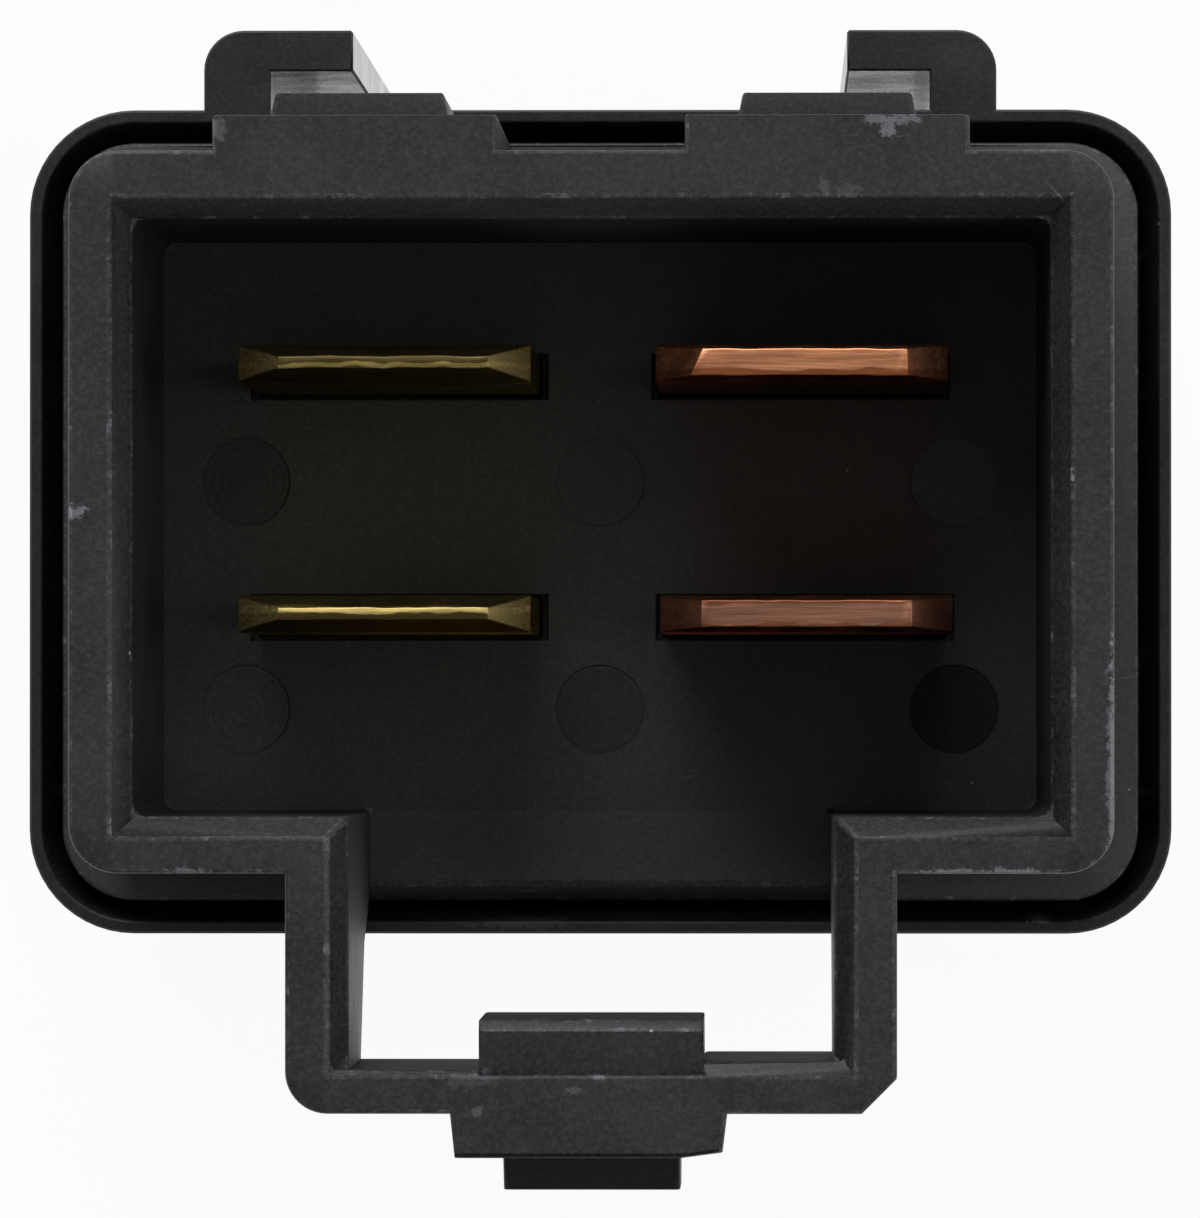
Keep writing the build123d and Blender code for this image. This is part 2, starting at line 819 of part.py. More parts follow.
with BuildPart() as yoke_rivets:
    for side in (-1, 1):
        seat = Plane(
            origin=(yoke_outer_x - leaf_sheet, side * yoke_rivet_spacing / 2, yoke_rivet_z),
            z_dir=(1, 0, 0),
        )
        grip = leaf_sheet + yoke_sheet - fit_clearance
        add(rivet(seat, rivet_head_radius, rivet_head, rivet_radius, grip, 0, 0))

yoke_rivets.part.label = "yoke_rivets"
export_step(yoke_rivets.part, "parts/yoke_rivets.step")

with BuildPart() as armature_rivets:
    for side in (-1, 1):
        seat = on_armature(coil_x - hinge_x, side * armature_rivet_spacing / 2, leaf_depth, 1)
        grip = leaf_depth - fit_clearance
        add(rivet(seat, rivet_head_radius, rivet_head, rivet_radius, grip, 0, 0))

armature_rivets.part.label = "armature_rivets"
export_step(armature_rivets.part, "parts/armature_rivets.step")

# Contacts: one riveted in the leaf, facing up, and one in the load terminal, facing down

with BuildPart() as moving_contact:
    add(
        rivet(
            on_armature(contact_along, 0, armature_sheet, -1),
            contact_radius,
            contact_height,
            contact_shank,
            leaf_sheet,
            contact_tail_radius,
            contact_tail,
        )
    )

moving_contact.part.label = "moving_contact"
export_step(moving_contact.part, "parts/moving_contact.step")

with BuildPart() as fixed_contact:
    add(
        rivet(
            Plane(origin=(contact_x, 0, load_plate_z)),
            contact_radius,
            contact_height,
            contact_shank,
            sheet,
            contact_tail_radius,
            contact_tail,
        )
    )

fixed_contact.part.label = "fixed_contact"
export_step(fixed_contact.part, "parts/fixed_contact.step")

# Stop bracket: a strip down from the base, bent in under the open contact

with BuildPart() as stop_bracket:
    outer_x = stop_strip_x + stop_sheet
    add(
        front_profile(
            [
                (outer_x, base_underside + stop_pocket_depth),
                (outer_x, stop_foot_z - stop_sheet),
                (outer_x - stop_foot_length, stop_foot_z - stop_sheet),
                (outer_x - stop_foot_length, stop_foot_z),
                (stop_strip_x, stop_foot_z),
                (stop_strip_x, base_underside + stop_pocket_depth),
            ],
            0,
            stop_width,
        )
    )
    bend_edge = stop_bracket.edges().filter_by(Axis.Y).group_by(Axis.Z)[0].sort_by(Axis.X)[-1]
    fillet(bend_edge, stop_sheet * bend_share)

stop_bracket.part.label = "stop_bracket"
export_step(stop_bracket.part, "parts/stop_bracket.step")

# Load terminal: its blade narrows to a strip down to the fixed contact

with BuildPart() as load_terminal:
    strip_sides = (contact_x - load_strip_width / 2, contact_x + load_strip_width / 2)
    back_y = upper_row_y + sheet / 2
    blade_foot_z = base_underside - load_strip_shoulder
    shoulder = (load_blade_x - blade_width / 2, strip_sides[1])
    add(block(shoulder, (back_y - sheet, back_y), (blade_foot_z, base_underside)))
    add(block(strip_sides, (back_y - sheet, back_y), (load_plate_z, base_underside)))
    add(block(strip_sides, (-load_strip_width / 2, back_y), (load_plate_z, load_plate_z + sheet)))
    bend_edge = load_terminal.edges().filter_by(Axis.X).group_by(Axis.Z)[0].sort_by(Axis.Y)[-1]
    fillet(bend_edge, sheet * bend_share)
    corner_edges = load_terminal.edges().filter_by(Axis.Z).group_by(Axis.Y)[0]
    fillet(corner_edges, load_strip_width / 4)
    with BuildSketch(Plane.XY.offset(load_plate_z)):
        with Locations((contact_x, 0)):
            Circle(contact_shank + fit_clearance)
    extrude(amount=sheet, mode=Mode.SUBTRACT)
    add(blade(load_blade_x, upper_row_y, blade_foot_z, copper_tip_flat))

load_terminal.part.label = "load_terminal"
export_step(load_terminal.part, "parts/load_terminal.step")

# Common terminal: its blade is bent to a strap between the base and the yoke

with BuildPart() as common_terminal:
    blade_sides = (common_blade_x - blade_width / 2, common_blade_x + blade_width / 2)
    front_y = lower_row_y - sheet / 2
    add(block(blade_sides, (front_y, strap_width / 2), (strap_z, base_underside)))
    bend_edge = common_terminal.edges().filter_by(Axis.X).group_by(Axis.Z)[0].sort_by(Axis.Y)[0]
    fillet(bend_edge, sheet * bend_share)
    add(blade(common_blade_x, lower_row_y, base_underside, copper_tip_flat))
    add(
        block(
            (coil_x - strap_end, blade_sides[0]),
            (-strap_width / 2, strap_width / 2),
            (strap_z, base_underside),
        )
    )
    with BuildSketch(Plane.XY.offset(strap_z)):
        with Locations((coil_x, 0)):
            Circle(core_neck_radius + fit_clearance)
    extrude(amount=sheet, mode=Mode.SUBTRACT)

common_terminal.part.label = "common_terminal"
export_step(common_terminal.part, "parts/common_terminal.step")


# Coil terminals: each blade is bent out through the base to a tail beside the coil


def coil_terminal(row_y, side):
    """A brass blade, its foot and strip in the base's pocket, and the tail outside the yoke."""
    with BuildPart() as made:
        inner = row_y - side * sheet / 2
        foot = row_y + side * (sheet / 2 + coil_blade_foot)
        outer = side * tail_outer_y
        blade_half = blade_width / 2
        strip = (coil_x - coil_strip_width / 2, coil_x + coil_strip_width / 2)
        levels = (coil_strip_z, coil_strip_top)
        add(
            block(
                (coil_blade_x - blade_half, coil_blade_x + blade_half),
                (min(inner, foot), max(inner, foot)),
                levels,
            )
        )
        add(block(strip, (min(inner, outer), max(inner, outer)), levels))
        tail = (min(side * tail_inner_y, outer), max(side * tail_inner_y, outer))
        add(block(strip, tail, (tail_end_z, coil_strip_top)))
        outer_edges = made.edges().filter_by(Axis.X).group_by(Axis.Z)[-1]
        fillet(outer_edges.sort_by(Axis.Y)[-1 if side > 0 else 0], sheet * bend_share)
        add(blade(coil_blade_x, row_y, coil_strip_z, brass_tip_flat))
    return made.part


coil_terminal_upper = coil_terminal(upper_row_y, 1)
coil_terminal_upper.label = "coil_terminal_upper"
export_step(coil_terminal_upper, "parts/coil_terminal_upper.step")

coil_terminal_lower = coil_terminal(lower_row_y, -1)
coil_terminal_lower.label = "coil_terminal_lower"
export_step(coil_terminal_lower, "parts/coil_terminal_lower.step")

# Resistor across the coil: a body beside the winding, its leads bent along to the tails

lead_y = tail_inner_y - lead_radius
wire_y = tail_inner_y - wire_radius


def resistor_lead(side, radius):
    """The resistor's lead on one side, from its body round to the coil terminal's tail."""
    return round_bar(
        [
            (resistor_x, side * resistor_length / 2, resistor_z),
            (resistor_x, side * lead_y, resistor_z),
            (coil_x - coil_strip_width / 2 - lead_overrun, side * lead_y, resistor_z),
        ],
        radius,
    )


def coil_lead(side, radius):
    """The winding's end on one side, straight from the winding's face up to the tail."""
    return round_bar(
        [
            (coil_x, side * (winding_radius + wire_radius + fit_clearance), wire_z),
            (coil_x, side * (wire_y - fit_clearance), resistor_z - lead_radius - 2 * fit_clearance),
        ],
        radius,
    )


with BuildPart() as resistor_body:
    with BuildSketch(Plane.XZ):
        with Locations((resistor_x, resistor_z)):
            Circle(resistor_radius)
    extrude(amount=resistor_length / 2, both=True)

resistor_body.part.label = "resistor_body"
export_step(resistor_body.part, "parts/resistor_body.step")

with BuildPart() as resistor_leads:
    for side in (-1, 1):
        add(resistor_lead(side, lead_radius))

resistor_leads.part.label = "resistor_leads"
export_step(resistor_leads.part, "parts/resistor_leads.step")

with BuildPart() as coil_leads:
    for side in (-1, 1):
        add(coil_lead(side, wire_radius))

coil_leads.part.label = "coil_leads"
export_step(coil_leads.part, "parts/coil_leads.step")

# Solder joints: a bead on each tail, round the resistor's lead and the coil's end

with BuildPart() as solder_joints:
    for side in (-1, 1):
        bead_top = resistor_z + lead_radius + solder_margin
        bead_inner = side * (lead_y - lead_radius - solder_margin)
        with BuildSketch(Plane.YZ.offset(coil_x)):
            with BuildLine():
                Polyline(
                    (side * tail_inner_y, tail_end_z + solder_margin / 2),
                    (bead_inner, resistor_z - lead_radius),
                    (bead_inner, resistor_z + lead_radius),
                    (side * tail_inner_y, bead_top),
                    close=True,
                )
            make_face()
        extrude(amount=(coil_strip_width - solder_margin) / 2, both=True)
        add(resistor_lead(side, lead_radius + fit_clearance), mode=Mode.SUBTRACT)
        add(coil_lead(side, wire_radius + fit_clearance), mode=Mode.SUBTRACT)

solder_joints.part.label = "solder_joints"
export_step(solder_joints.part, "parts/solder_joints.step")
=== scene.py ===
import json
from math import atan, pi, radians, sin

import bmesh
import bpy
from mathutils import Matrix, Vector, noise


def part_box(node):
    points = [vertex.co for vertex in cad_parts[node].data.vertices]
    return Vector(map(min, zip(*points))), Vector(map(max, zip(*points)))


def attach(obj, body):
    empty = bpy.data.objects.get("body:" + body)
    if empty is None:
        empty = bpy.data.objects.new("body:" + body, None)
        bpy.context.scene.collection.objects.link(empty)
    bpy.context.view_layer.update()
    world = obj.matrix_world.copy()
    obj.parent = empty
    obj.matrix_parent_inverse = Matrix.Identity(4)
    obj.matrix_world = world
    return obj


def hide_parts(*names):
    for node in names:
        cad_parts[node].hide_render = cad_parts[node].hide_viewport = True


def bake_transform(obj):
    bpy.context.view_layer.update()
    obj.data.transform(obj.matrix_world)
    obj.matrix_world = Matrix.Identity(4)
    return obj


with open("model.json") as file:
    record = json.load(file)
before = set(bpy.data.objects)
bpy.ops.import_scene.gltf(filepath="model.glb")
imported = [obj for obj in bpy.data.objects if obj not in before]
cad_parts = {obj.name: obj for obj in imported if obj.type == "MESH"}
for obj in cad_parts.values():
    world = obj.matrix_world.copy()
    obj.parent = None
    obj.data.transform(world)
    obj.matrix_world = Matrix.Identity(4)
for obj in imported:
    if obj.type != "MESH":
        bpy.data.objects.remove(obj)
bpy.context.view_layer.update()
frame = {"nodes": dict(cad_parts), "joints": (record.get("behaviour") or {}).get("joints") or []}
bpy.ops.object.select_all(action="DESELECT")

# A plug-in automotive relay seen straight down its socket. Lengths are millimetres times MM.
MM = 0.001

# Image of the photograph and the camera's place over the socket
image_height = 1218
focal_pixels = 10112
sensor_width = 36.0
camera_height = 252.0
camera_x = 3.70
camera_y = -4.01
aim_y = -1.964
aim_z = 25.0

# Levels of the base: the socket's floor, which is level with the cover's mouth, and the shroud's rim
socket_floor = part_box("cover")[1].z / MM
rim_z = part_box("base")[1].z / MM

# Socket floor on X and Y, with the latch channel from channel_start down to channel_end, how far from
# its level a face still belongs to it, and the lowest ledge of the base that can be seen from above
socket_half_x = 9.6
socket_high_y = 6.1
channel_start = -6.49
channel_end = -9.0
floor_reach = 0.9
lowest_ledge = 15.0

# How far from the socket floor and the rim their own level faces lie: on it, above it and below the rim
same_level = 0.01
ledge_reach = 0.3
rim_reach = 0.5

# Facing of a surface: its normal's Z where it is level, nearly level, and upright
level = 0.99
nearly_level = 0.9
upright = 0.1

# Slope under the lock block: it lies beyond this on Y, and its normal leans between these two
lock_slope_y = -13.6
least_lean = 0.2
most_lean = 0.9

# Finding the points and edges of a CAD mesh: points to merge, and degrees between faces
merge_reach = 0.002
flat_angle = 0.5
corner_angle = 28
smooth_angle = 40

# Rounding of the edges
mould_edge = 0.09
cover_edge = 0.05
blade_edge = 0.03
lead_edge = 0.03
stamped_edge = 0.06
contact_edge = 0.12
rivet_edge = 0.2

# Sheared tips of the blades: how deep they reach, their cuts, the wander and crown of their edge, and how
# far the left end of one of them slants. Shares of the depth say where they change and stay flat
tip_depth = 1.0
tip_reach = 1.05
tip_cuts = 28
tip_wander = 0.03
tip_waves = 1.7
tip_crown = 0.08
tip_slant = 0.45
tip_changed_share = 0.9
tip_flat_share = 0.1
tip_smooth_angle = 20

# Coil and leaf spring
coil_turns = 36
coil_steps = 56
coil_wire_sides = 8
coil_core_sides = 64
leaf_cuts = 14
leaf_bend_zone = 2.4
leaf_smooth_angle = 30

# Resistor: its barrel's waist between two caps, its colour bands and its leads
barrel_sides = 48
cap_rounding = 0.4
waist_end = 1.9
waist_reach = 1.95
cap_start = 2.2
waist_share = 0.88
band_start = -1.35
band_pitch = 0.85
band_half_width = 0.19
lead_corner = 0.9
lead_share = 0.98
lead_start_share = 0.97

# Solder beads
bead_grain = 0.07

# Floor, with room under the part so that it and the closed end don't share a plane
floor_size = 3.0
floor_clearance = 0.02

# Material slots of the base and the cover, in the order of their finishes. The rounded edges take the
# last one, which has no name here
body_slot, shaded_slope_slot, floor_slot, rim_slot, ledge_slot = 0, 1, 2, 6, 7
dark_pin_slot, dim_pin_slot, rubbed_pin_slot = 3, 4, 5
cover_body_slot, cover_wall_slot = 0, 1

# Faces of the ejector pins on the socket floor: place on X and Y, and the slot of the finish. A ring
# lies just outside each face, and turning marks inside it. Real turning marks are too fine to show, so
# these are drawn about 0.2 mm apart
pin_radius = 1.0
pin_ring_offset = 0.02
pin_ring_half_width = 0.035
pin_swirl_pitch = 0.03
pin_swirl_height = 0.08
floor_pins = (
    (-7.95, 0.89, dim_pin_slot),
    (-7.95, -4.21, floor_slot),
    (0.0, 0.89, floor_slot),
    (0.0, -4.21, dim_pin_slot),
    (7.95, 0.89, rubbed_pin_slot),
    (7.95, -4.21, dark_pin_slot),
)


def linear(hex_colour):
    """The linear RGBA colour of an sRGB hex value."""
    channels = [int(hex_colour[place:place + 2], 16) / 255 for place in (1, 3, 5)]
    return [c / 12.92 if c <= 0.04045 else ((c + 0.055) / 1.055) ** 2.4 for c in channels] + [1.0]


def add_node(tree, kind, inputs=None, **settings):
    """Adds a node. An input is a value, or a node and the name of the output to link from."""

    def socket(sockets, key):
        if isinstance(key, int):
            return sockets[key]
        return next(each for each in sockets if each.name == key and each.enabled)

    made = tree.nodes.new(kind)
    for name, value in settings.items():
        setattr(made, name, value)
    for key, value in (inputs or {}).items():
        if isinstance(value, tuple) and isinstance(value[0], bpy.types.Node):
            tree.links.new(socket(value[0].outputs, value[1]), socket(made.inputs, key))
        else:
            socket(made.inputs, key).default_value = value
    return made


def new_material(name):
    """A material with an empty node tree, and the tree."""
    material = bpy.data.materials.new(name)
    material.use_nodes = True
    material.node_tree.nodes.clear()
    return material, material.node_tree


def per_mm(size):
    """The scale that makes a pattern repeat about once in this many millimetres."""
    return 1 / (size * MM)


def moulded_nylon(name, colour, pale, roughness, wear, ior=1.5, scuffs_and_highlights=(), pins=False):
    """Glass-filled nylon, injection moulded: satin, with a fine even grain from the mould, faint
    clouding, a few hairline scratches and pale specks where dust and fibre show. Wear from 0 to 1
    rubs it paler, most of all on edges. Scuffs and painted highlights are rows of place, reach and
    strength, and pins adds the round marks of the mould's ejector pins."""
    material, tree = new_material(name)
    place = add_node(tree, "ShaderNodeTexCoord")

    # Clouding of the moulded skin, about 2.5 mm across, and the mould's grain, which is really too fine
    # to show and is drawn as coarse as 0.11 mm
    cloud = add_node(tree, "ShaderNodeTexNoise",
                     {"Vector": (place, "Object"), "Scale": per_mm(2.5), "Detail": 5.0, "Roughness": 0.6})
    fine = add_node(tree, "ShaderNodeTexNoise",
                    {"Vector": (place, "Object"), "Scale": per_mm(0.11), "Detail": 3.0, "Roughness": 0.7})
    tint = add_node(tree, "ShaderNodeMapRange",
                    {"Value": (cloud, "Fac"), "From Min": 0.3, "From Max": 0.75,
                     "To Min": 0.0, "To Max": 0.06})
    grit = add_node(tree, "ShaderNodeMapRange",
                    {"Value": (fine, "Fac"), "From Min": 0.42, "From Max": 0.75,
                     "To Min": 0.0, "To Max": 0.14})

    # Rubbed patches, broken up, and specks about 0.08 mm wide in one cell out of many
    rubbed = add_node(tree, "ShaderNodeTexNoise",
                      {"Vector": (place, "Object"), "Scale": per_mm(0.5), "Detail": 8.0, "Roughness": 0.78})
    rub = add_node(tree, "ShaderNodeMapRange",
                   {"Value": (rubbed, "Fac"), "From Min": 0.62 - 0.16 * wear, "From Max": 0.74 - 0.08 * wear,
                    "To Min": 0.0, "To Max": 0.08 + 0.8 * wear})
    cells = add_node(tree, "ShaderNodeTexVoronoi", {"Vector": (place, "Object"), "Scale": per_mm(0.7)})
    chosen = add_node(tree, "ShaderNodeSeparateColor", {"Color": (cells, "Color")})
    few = add_node(tree, "ShaderNodeMath",
                   {0: (chosen, "Red"), 1: 0.9 - 0.25 * wear}, operation="GREATER_THAN")
    near = add_node(tree, "ShaderNodeMath", {0: (cells, "Distance"), 1: 0.06}, operation="LESS_THAN")
    speck = add_node(tree, "ShaderNodeMath", {0: (few, "Value"), 1: (near, "Value")}, operation="MULTIPLY")

    # Hairline scratches in three directions, from noise drawn out along each, and 0.09 mm wide so that
    # they show
    lines = speck
    for turn, seed in ((28, 3.0), (-41, 11.0), (84, 23.0)):
        turned = add_node(tree, "ShaderNodeMapping",
                          {"Vector": (place, "Object"), "Rotation": (0.0, 0.0, radians(turn)),
                           "Location": (seed, seed, 0.0)})
        drawn = add_node(tree, "ShaderNodeMapping",
                         {"Vector": (turned, "Vector"), "Scale": (per_mm(0.09), per_mm(2.0), per_mm(2.0))})
        hair = add_node(tree, "ShaderNodeTexNoise",
                        {"Vector": (drawn, "Vector"), "Scale": 1.0, "Detail": 1.0})
        stroke = add_node(tree, "ShaderNodeMapRange",
                          {"Value": (hair, "Fac"), "From Min": 0.79, "From Max": 0.84,
                           "To Min": 0.0, "To Max": 0.2})
        lines = add_node(tree, "ShaderNodeMath",
                         {0: (lines, "Value"), 1: (stroke, "Result")}, operation="MAXIMUM")
    marked = scuff_and_highlight_marks(tree, place, lines, scuffs_and_highlights) if scuffs_and_highlights else lines

    # Pale share of the colour: clouding, rubbing, grain and marks together
    share = add_node(tree, "ShaderNodeMath", {0: (tint, "Result"), 1: (rub, "Result")}, operation="ADD")
    share = add_node(tree, "ShaderNodeMath", {0: (share, "Value"), 1: (grit, "Result")}, operation="ADD")
    share = add_node(tree, "ShaderNodeMath", {0: (share, "Value"), 1: (marked, "Value")},
                     operation="ADD", use_clamp=True)
    skin = add_node(tree, "ShaderNodeMix",
                    {"Factor": (share, "Value"), "A": linear(colour), "B": linear(pale)}, data_type="RGBA")
    sheen = add_node(tree, "ShaderNodeMapRange",
                     {"Value": (cloud, "Fac"), "From Min": 0.3, "From Max": 0.7,
                      "To Min": roughness - 0.05, "To Max": roughness + 0.06})
    relief = add_node(tree, "ShaderNodeBump",
                      {"Height": (fine, "Fac"), "Strength": 0.35, "Distance": 0.012 * MM})
    grooves = add_node(tree, "ShaderNodeBump",
                       {"Height": (lines, "Value"), "Strength": 0.5, "Distance": 0.012 * MM,
                        "Normal": (relief, "Normal")}, invert=True)
    if pins:
        grooves = pin_marks(tree, place, grooves)
    shader = add_node(tree, "ShaderNodeBsdfPrincipled",
                      {"Base Color": (skin, "Result"), "Roughness": (sheen, "Result"), "IOR": ior,
                       "Normal": (grooves, "Normal")})
    add_node(tree, "ShaderNodeOutputMaterial", {"Surface": (shader, "BSDF")})
    return material


def scuff_and_highlight_marks(tree, place, marked, scuffs_and_highlights):
    """Scuffs where the part was knocked, and painted highlights, ragged at their edges, over the marks so
    far.
    """
    torn = add_node(tree, "ShaderNodeTexNoise",
                    {"Vector": (place, "Object"), "Scale": per_mm(0.16), "Detail": 5.0, "Roughness": 0.8})
    ragged = add_node(tree, "ShaderNodeMapRange",
                      {"Value": (torn, "Fac"), "From Min": 0.3, "From Max": 0.7,
                       "To Min": -0.8, "To Max": 1.0})
    for centre, reach, strength in scuffs_and_highlights:
        shifted = add_node(tree, "ShaderNodeMapping",
                           {"Vector": (place, "Object"),
                            "Location": [-at / size for at, size in zip(centre, reach)],
                            "Scale": [per_mm(size) for size in reach]})
        away = add_node(tree, "ShaderNodeVectorMath", {0: (shifted, "Vector")}, operation="LENGTH")
        broken = add_node(tree, "ShaderNodeMath",
                          {0: (away, "Value"), 1: (ragged, "Result")}, operation="ADD")
        patch = add_node(tree, "ShaderNodeMapRange",
                         {"Value": (broken, "Value"), "From Min": 0.75, "From Max": 1.0,
                          "To Min": strength, "To Max": 0.0})
        marked = add_node(tree, "ShaderNodeMath",
                          {0: (marked, "Value"), 1: (patch, "Result")}, operation="MAXIMUM")
    return marked


def pin_marks(tree, place, grooves):
    """The rings round the faces of the ejector pins in the socket's floor, broken here and there, and
    the faint turning marks inside them, cut into the relief so far."""
    uneven = add_node(tree, "ShaderNodeTexNoise",
                      {"Vector": (place, "Object"), "Scale": per_mm(1.3), "Detail": 3.0, "Roughness": 0.65})
    broken = add_node(tree, "ShaderNodeMapRange",
                      {"Value": (uneven, "Fac"), "From Min": 0.4, "From Max": 0.56,
                       "To Min": 0.2, "To Max": 1.0})
    nearest = None
    for x, y, _ in floor_pins:
        away = add_node(tree, "ShaderNodeVectorMath",
                        {0: (place, "Object"), 1: (x * MM, y * MM, socket_floor * MM)},
                        operation="DISTANCE")
        if nearest is None:
            nearest = away
        else:
            nearest = add_node(tree, "ShaderNodeMath",
                               {0: (nearest, "Value"), 1: (away, "Value")}, operation="MINIMUM")
    ring = add_node(tree, "ShaderNodeMath",
                    {0: (nearest, "Value"), 1: (pin_radius + pin_ring_offset) * MM,
                     2: pin_ring_half_width * MM}, operation="COMPARE")
    ring = add_node(tree, "ShaderNodeMath",
                    {0: (ring, "Value"), 1: (broken, "Result")}, operation="MULTIPLY")
    within = add_node(tree, "ShaderNodeMath",
                      {0: (nearest, "Value"), 1: pin_radius * MM}, operation="LESS_THAN")
    rings = add_node(tree, "ShaderNodeMath",
                     {0: (nearest, "Value"), 1: per_mm(pin_swirl_pitch)}, operation="MULTIPLY")
    turned = add_node(tree, "ShaderNodeMath", {0: (rings, "Value")}, operation="SINE")
    swirl = add_node(tree, "ShaderNodeMath",
                     {0: (turned, "Value"), 1: (within, "Value")}, operation="MULTIPLY")
    height = add_node(tree, "ShaderNodeMath",
                      {0: (swirl, "Value"), 1: pin_swirl_height, 2: (ring, "Value")},
                      operation="MULTIPLY_ADD")
    return add_node(tree, "ShaderNodeBump",
                    {"Height": (height, "Value"), "Strength": 0.9, "Distance": 0.015 * MM,
                     "Normal": (grooves, "Normal")}, invert=True)


def sheared_metal(name, sheet, bright, dull, tarnish, roughness, band):
    """Copper or brass strip, rolled and then sheared to shape. Its sheet is smooth, finely lined and a
    little stained. The shear leaves a bright burnish band along the tip, which also serves as a painted
    highlight where the tip's crown catches the lamp, and a duller torn band beside it. The tip's bevels
    carry a dark matt film, with painted shade laid over it on the long bevels. The band is its middle and
    half width on Y."""
    band_middle, band_half = band
    material, tree = new_material(name)
    place = add_node(tree, "ShaderNodeTexCoord")
    axes = add_node(tree, "ShaderNodeSeparateXYZ", {"Vector": (place, "Object")})
    stretched = add_node(tree, "ShaderNodeMapping",
                         {"Vector": (place, "Object"), "Scale": (per_mm(1.8), per_mm(0.08), per_mm(0.08))})
    drawn = add_node(tree, "ShaderNodeTexNoise",
                     {"Vector": (stretched, "Vector"), "Scale": 1.0, "Detail": 4.0, "Roughness": 0.6})
    patches = add_node(tree, "ShaderNodeTexNoise",
                       {"Vector": (place, "Object"), "Scale": per_mm(0.8), "Detail": 2.5, "Roughness": 0.5})

    # Burnish band, which also serves as a painted highlight line along the tip's crown, and wanders a little
    # along the edge
    wander = add_node(tree, "ShaderNodeMapRange",
                      {"Value": (patches, "Fac"), "From Min": 0.3, "From Max": 0.7,
                       "To Min": -0.05 * MM, "To Max": 0.05 * MM})
    shifted = add_node(tree, "ShaderNodeMath", {0: (axes, "Y"), 1: (wander, "Result")}, operation="ADD")
    offset = add_node(tree, "ShaderNodeMath",
                      {0: (shifted, "Value"), 1: band_middle * MM}, operation="SUBTRACT")
    away = add_node(tree, "ShaderNodeMath", {0: (offset, "Value")}, operation="ABSOLUTE")
    burnish_and_highlight_band = add_node(tree, "ShaderNodeMapRange",
                         {"Value": (away, "Value"), "From Min": band_half * MM,
                          "From Max": (band_half + 0.03) * MM, "To Min": 1.0, "To Max": 0.0})
    streaks = add_node(tree, "ShaderNodeMapRange",
                       {"Value": (drawn, "Fac"), "From Min": 0.3, "From Max": 0.7,
                        "To Min": 0.55, "To Max": 1.1})
    burnish_and_highlight_share = add_node(tree, "ShaderNodeMath", {0: (burnish_and_highlight_band, "Result"), 1: (streaks, "Result")},
                     operation="MULTIPLY", use_clamp=True)
    flat_skin = add_node(tree, "ShaderNodeMix",
                         {"Factor": (burnish_and_highlight_share, "Value"), "A": linear(dull), "B": linear(bright)},
                         data_type="RGBA")

    # Slope of the face: the tip's flat faces up, its bevels lean, and the sheet is upright
    faces = add_node(tree, "ShaderNodeNewGeometry")
    facing = add_node(tree, "ShaderNodeSeparateXYZ", {"Vector": (faces, "True Normal")})
    off_flat = add_node(tree, "ShaderNodeMapRange",
                        {"Value": (facing, "Z"), "From Min": 0.8, "From Max": 0.97,
                         "To Min": 1.0, "To Max": 0.0})
    off_sheet = add_node(tree, "ShaderNodeMapRange",
                         {"Value": (facing, "Z"), "From Min": 0.03, "From Max": 0.09,
                          "To Min": 0.0, "To Max": 1.0})
    across = add_node(tree, "ShaderNodeMath", {0: (facing, "Y")}, operation="ABSOLUTE")
    long_bevel_shade = add_node(tree, "ShaderNodeMapRange",
                         {"Value": (across, "Value"), "From Min": 0.1, "From Max": 0.4,
                          "To Min": 0.0, "To Max": 0.85})

    # Film on the bevels, with painted shade (#181009) laid over it on the long bevels, which lean towards Y
    dark = add_node(tree, "ShaderNodeMath",
                    {0: (long_bevel_shade, "Result"), 1: (off_sheet, "Result")}, operation="MULTIPLY")
    film_and_shade = add_node(tree, "ShaderNodeMix",
                    {"Factor": (dark, "Value"), "A": linear(tarnish), "B": linear("#181009")},
                    data_type="RGBA")
    thickness = add_node(tree, "ShaderNodeMapRange",
                         {"Value": (patches, "Fac"), "From Min": 0.3, "From Max": 0.7,
                          "To Min": 0.7, "To Max": 1.0})
    film_and_shade_share = add_node(tree, "ShaderNodeMath", {0: (off_flat, "Result"), 1: (thickness, "Result")},
                          operation="MULTIPLY", use_clamp=True)
    tip_skin = add_node(tree, "ShaderNodeMix",
                        {"Factor": (film_and_shade_share, "Value"), "A": (flat_skin, "Result"), "B": (film_and_shade, "Result")},
                        data_type="RGBA")

    # Stained sheet below the tip
    stain = add_node(tree, "ShaderNodeMapRange",
                     {"Value": (patches, "Fac"), "From Min": 0.4, "From Max": 0.75,
                      "To Min": 0.0, "To Max": 0.6})
    sheet_skin = add_node(tree, "ShaderNodeMix",
                          {"Factor": (stain, "Result"), "A": linear(sheet), "B": linear(tarnish)},
                          data_type="RGBA")
    skin = add_node(tree, "ShaderNodeMix",
                    {"Factor": (off_sheet, "Result"), "A": (sheet_skin, "Result"), "B": (tip_skin, "Result")},
                    data_type="RGBA")

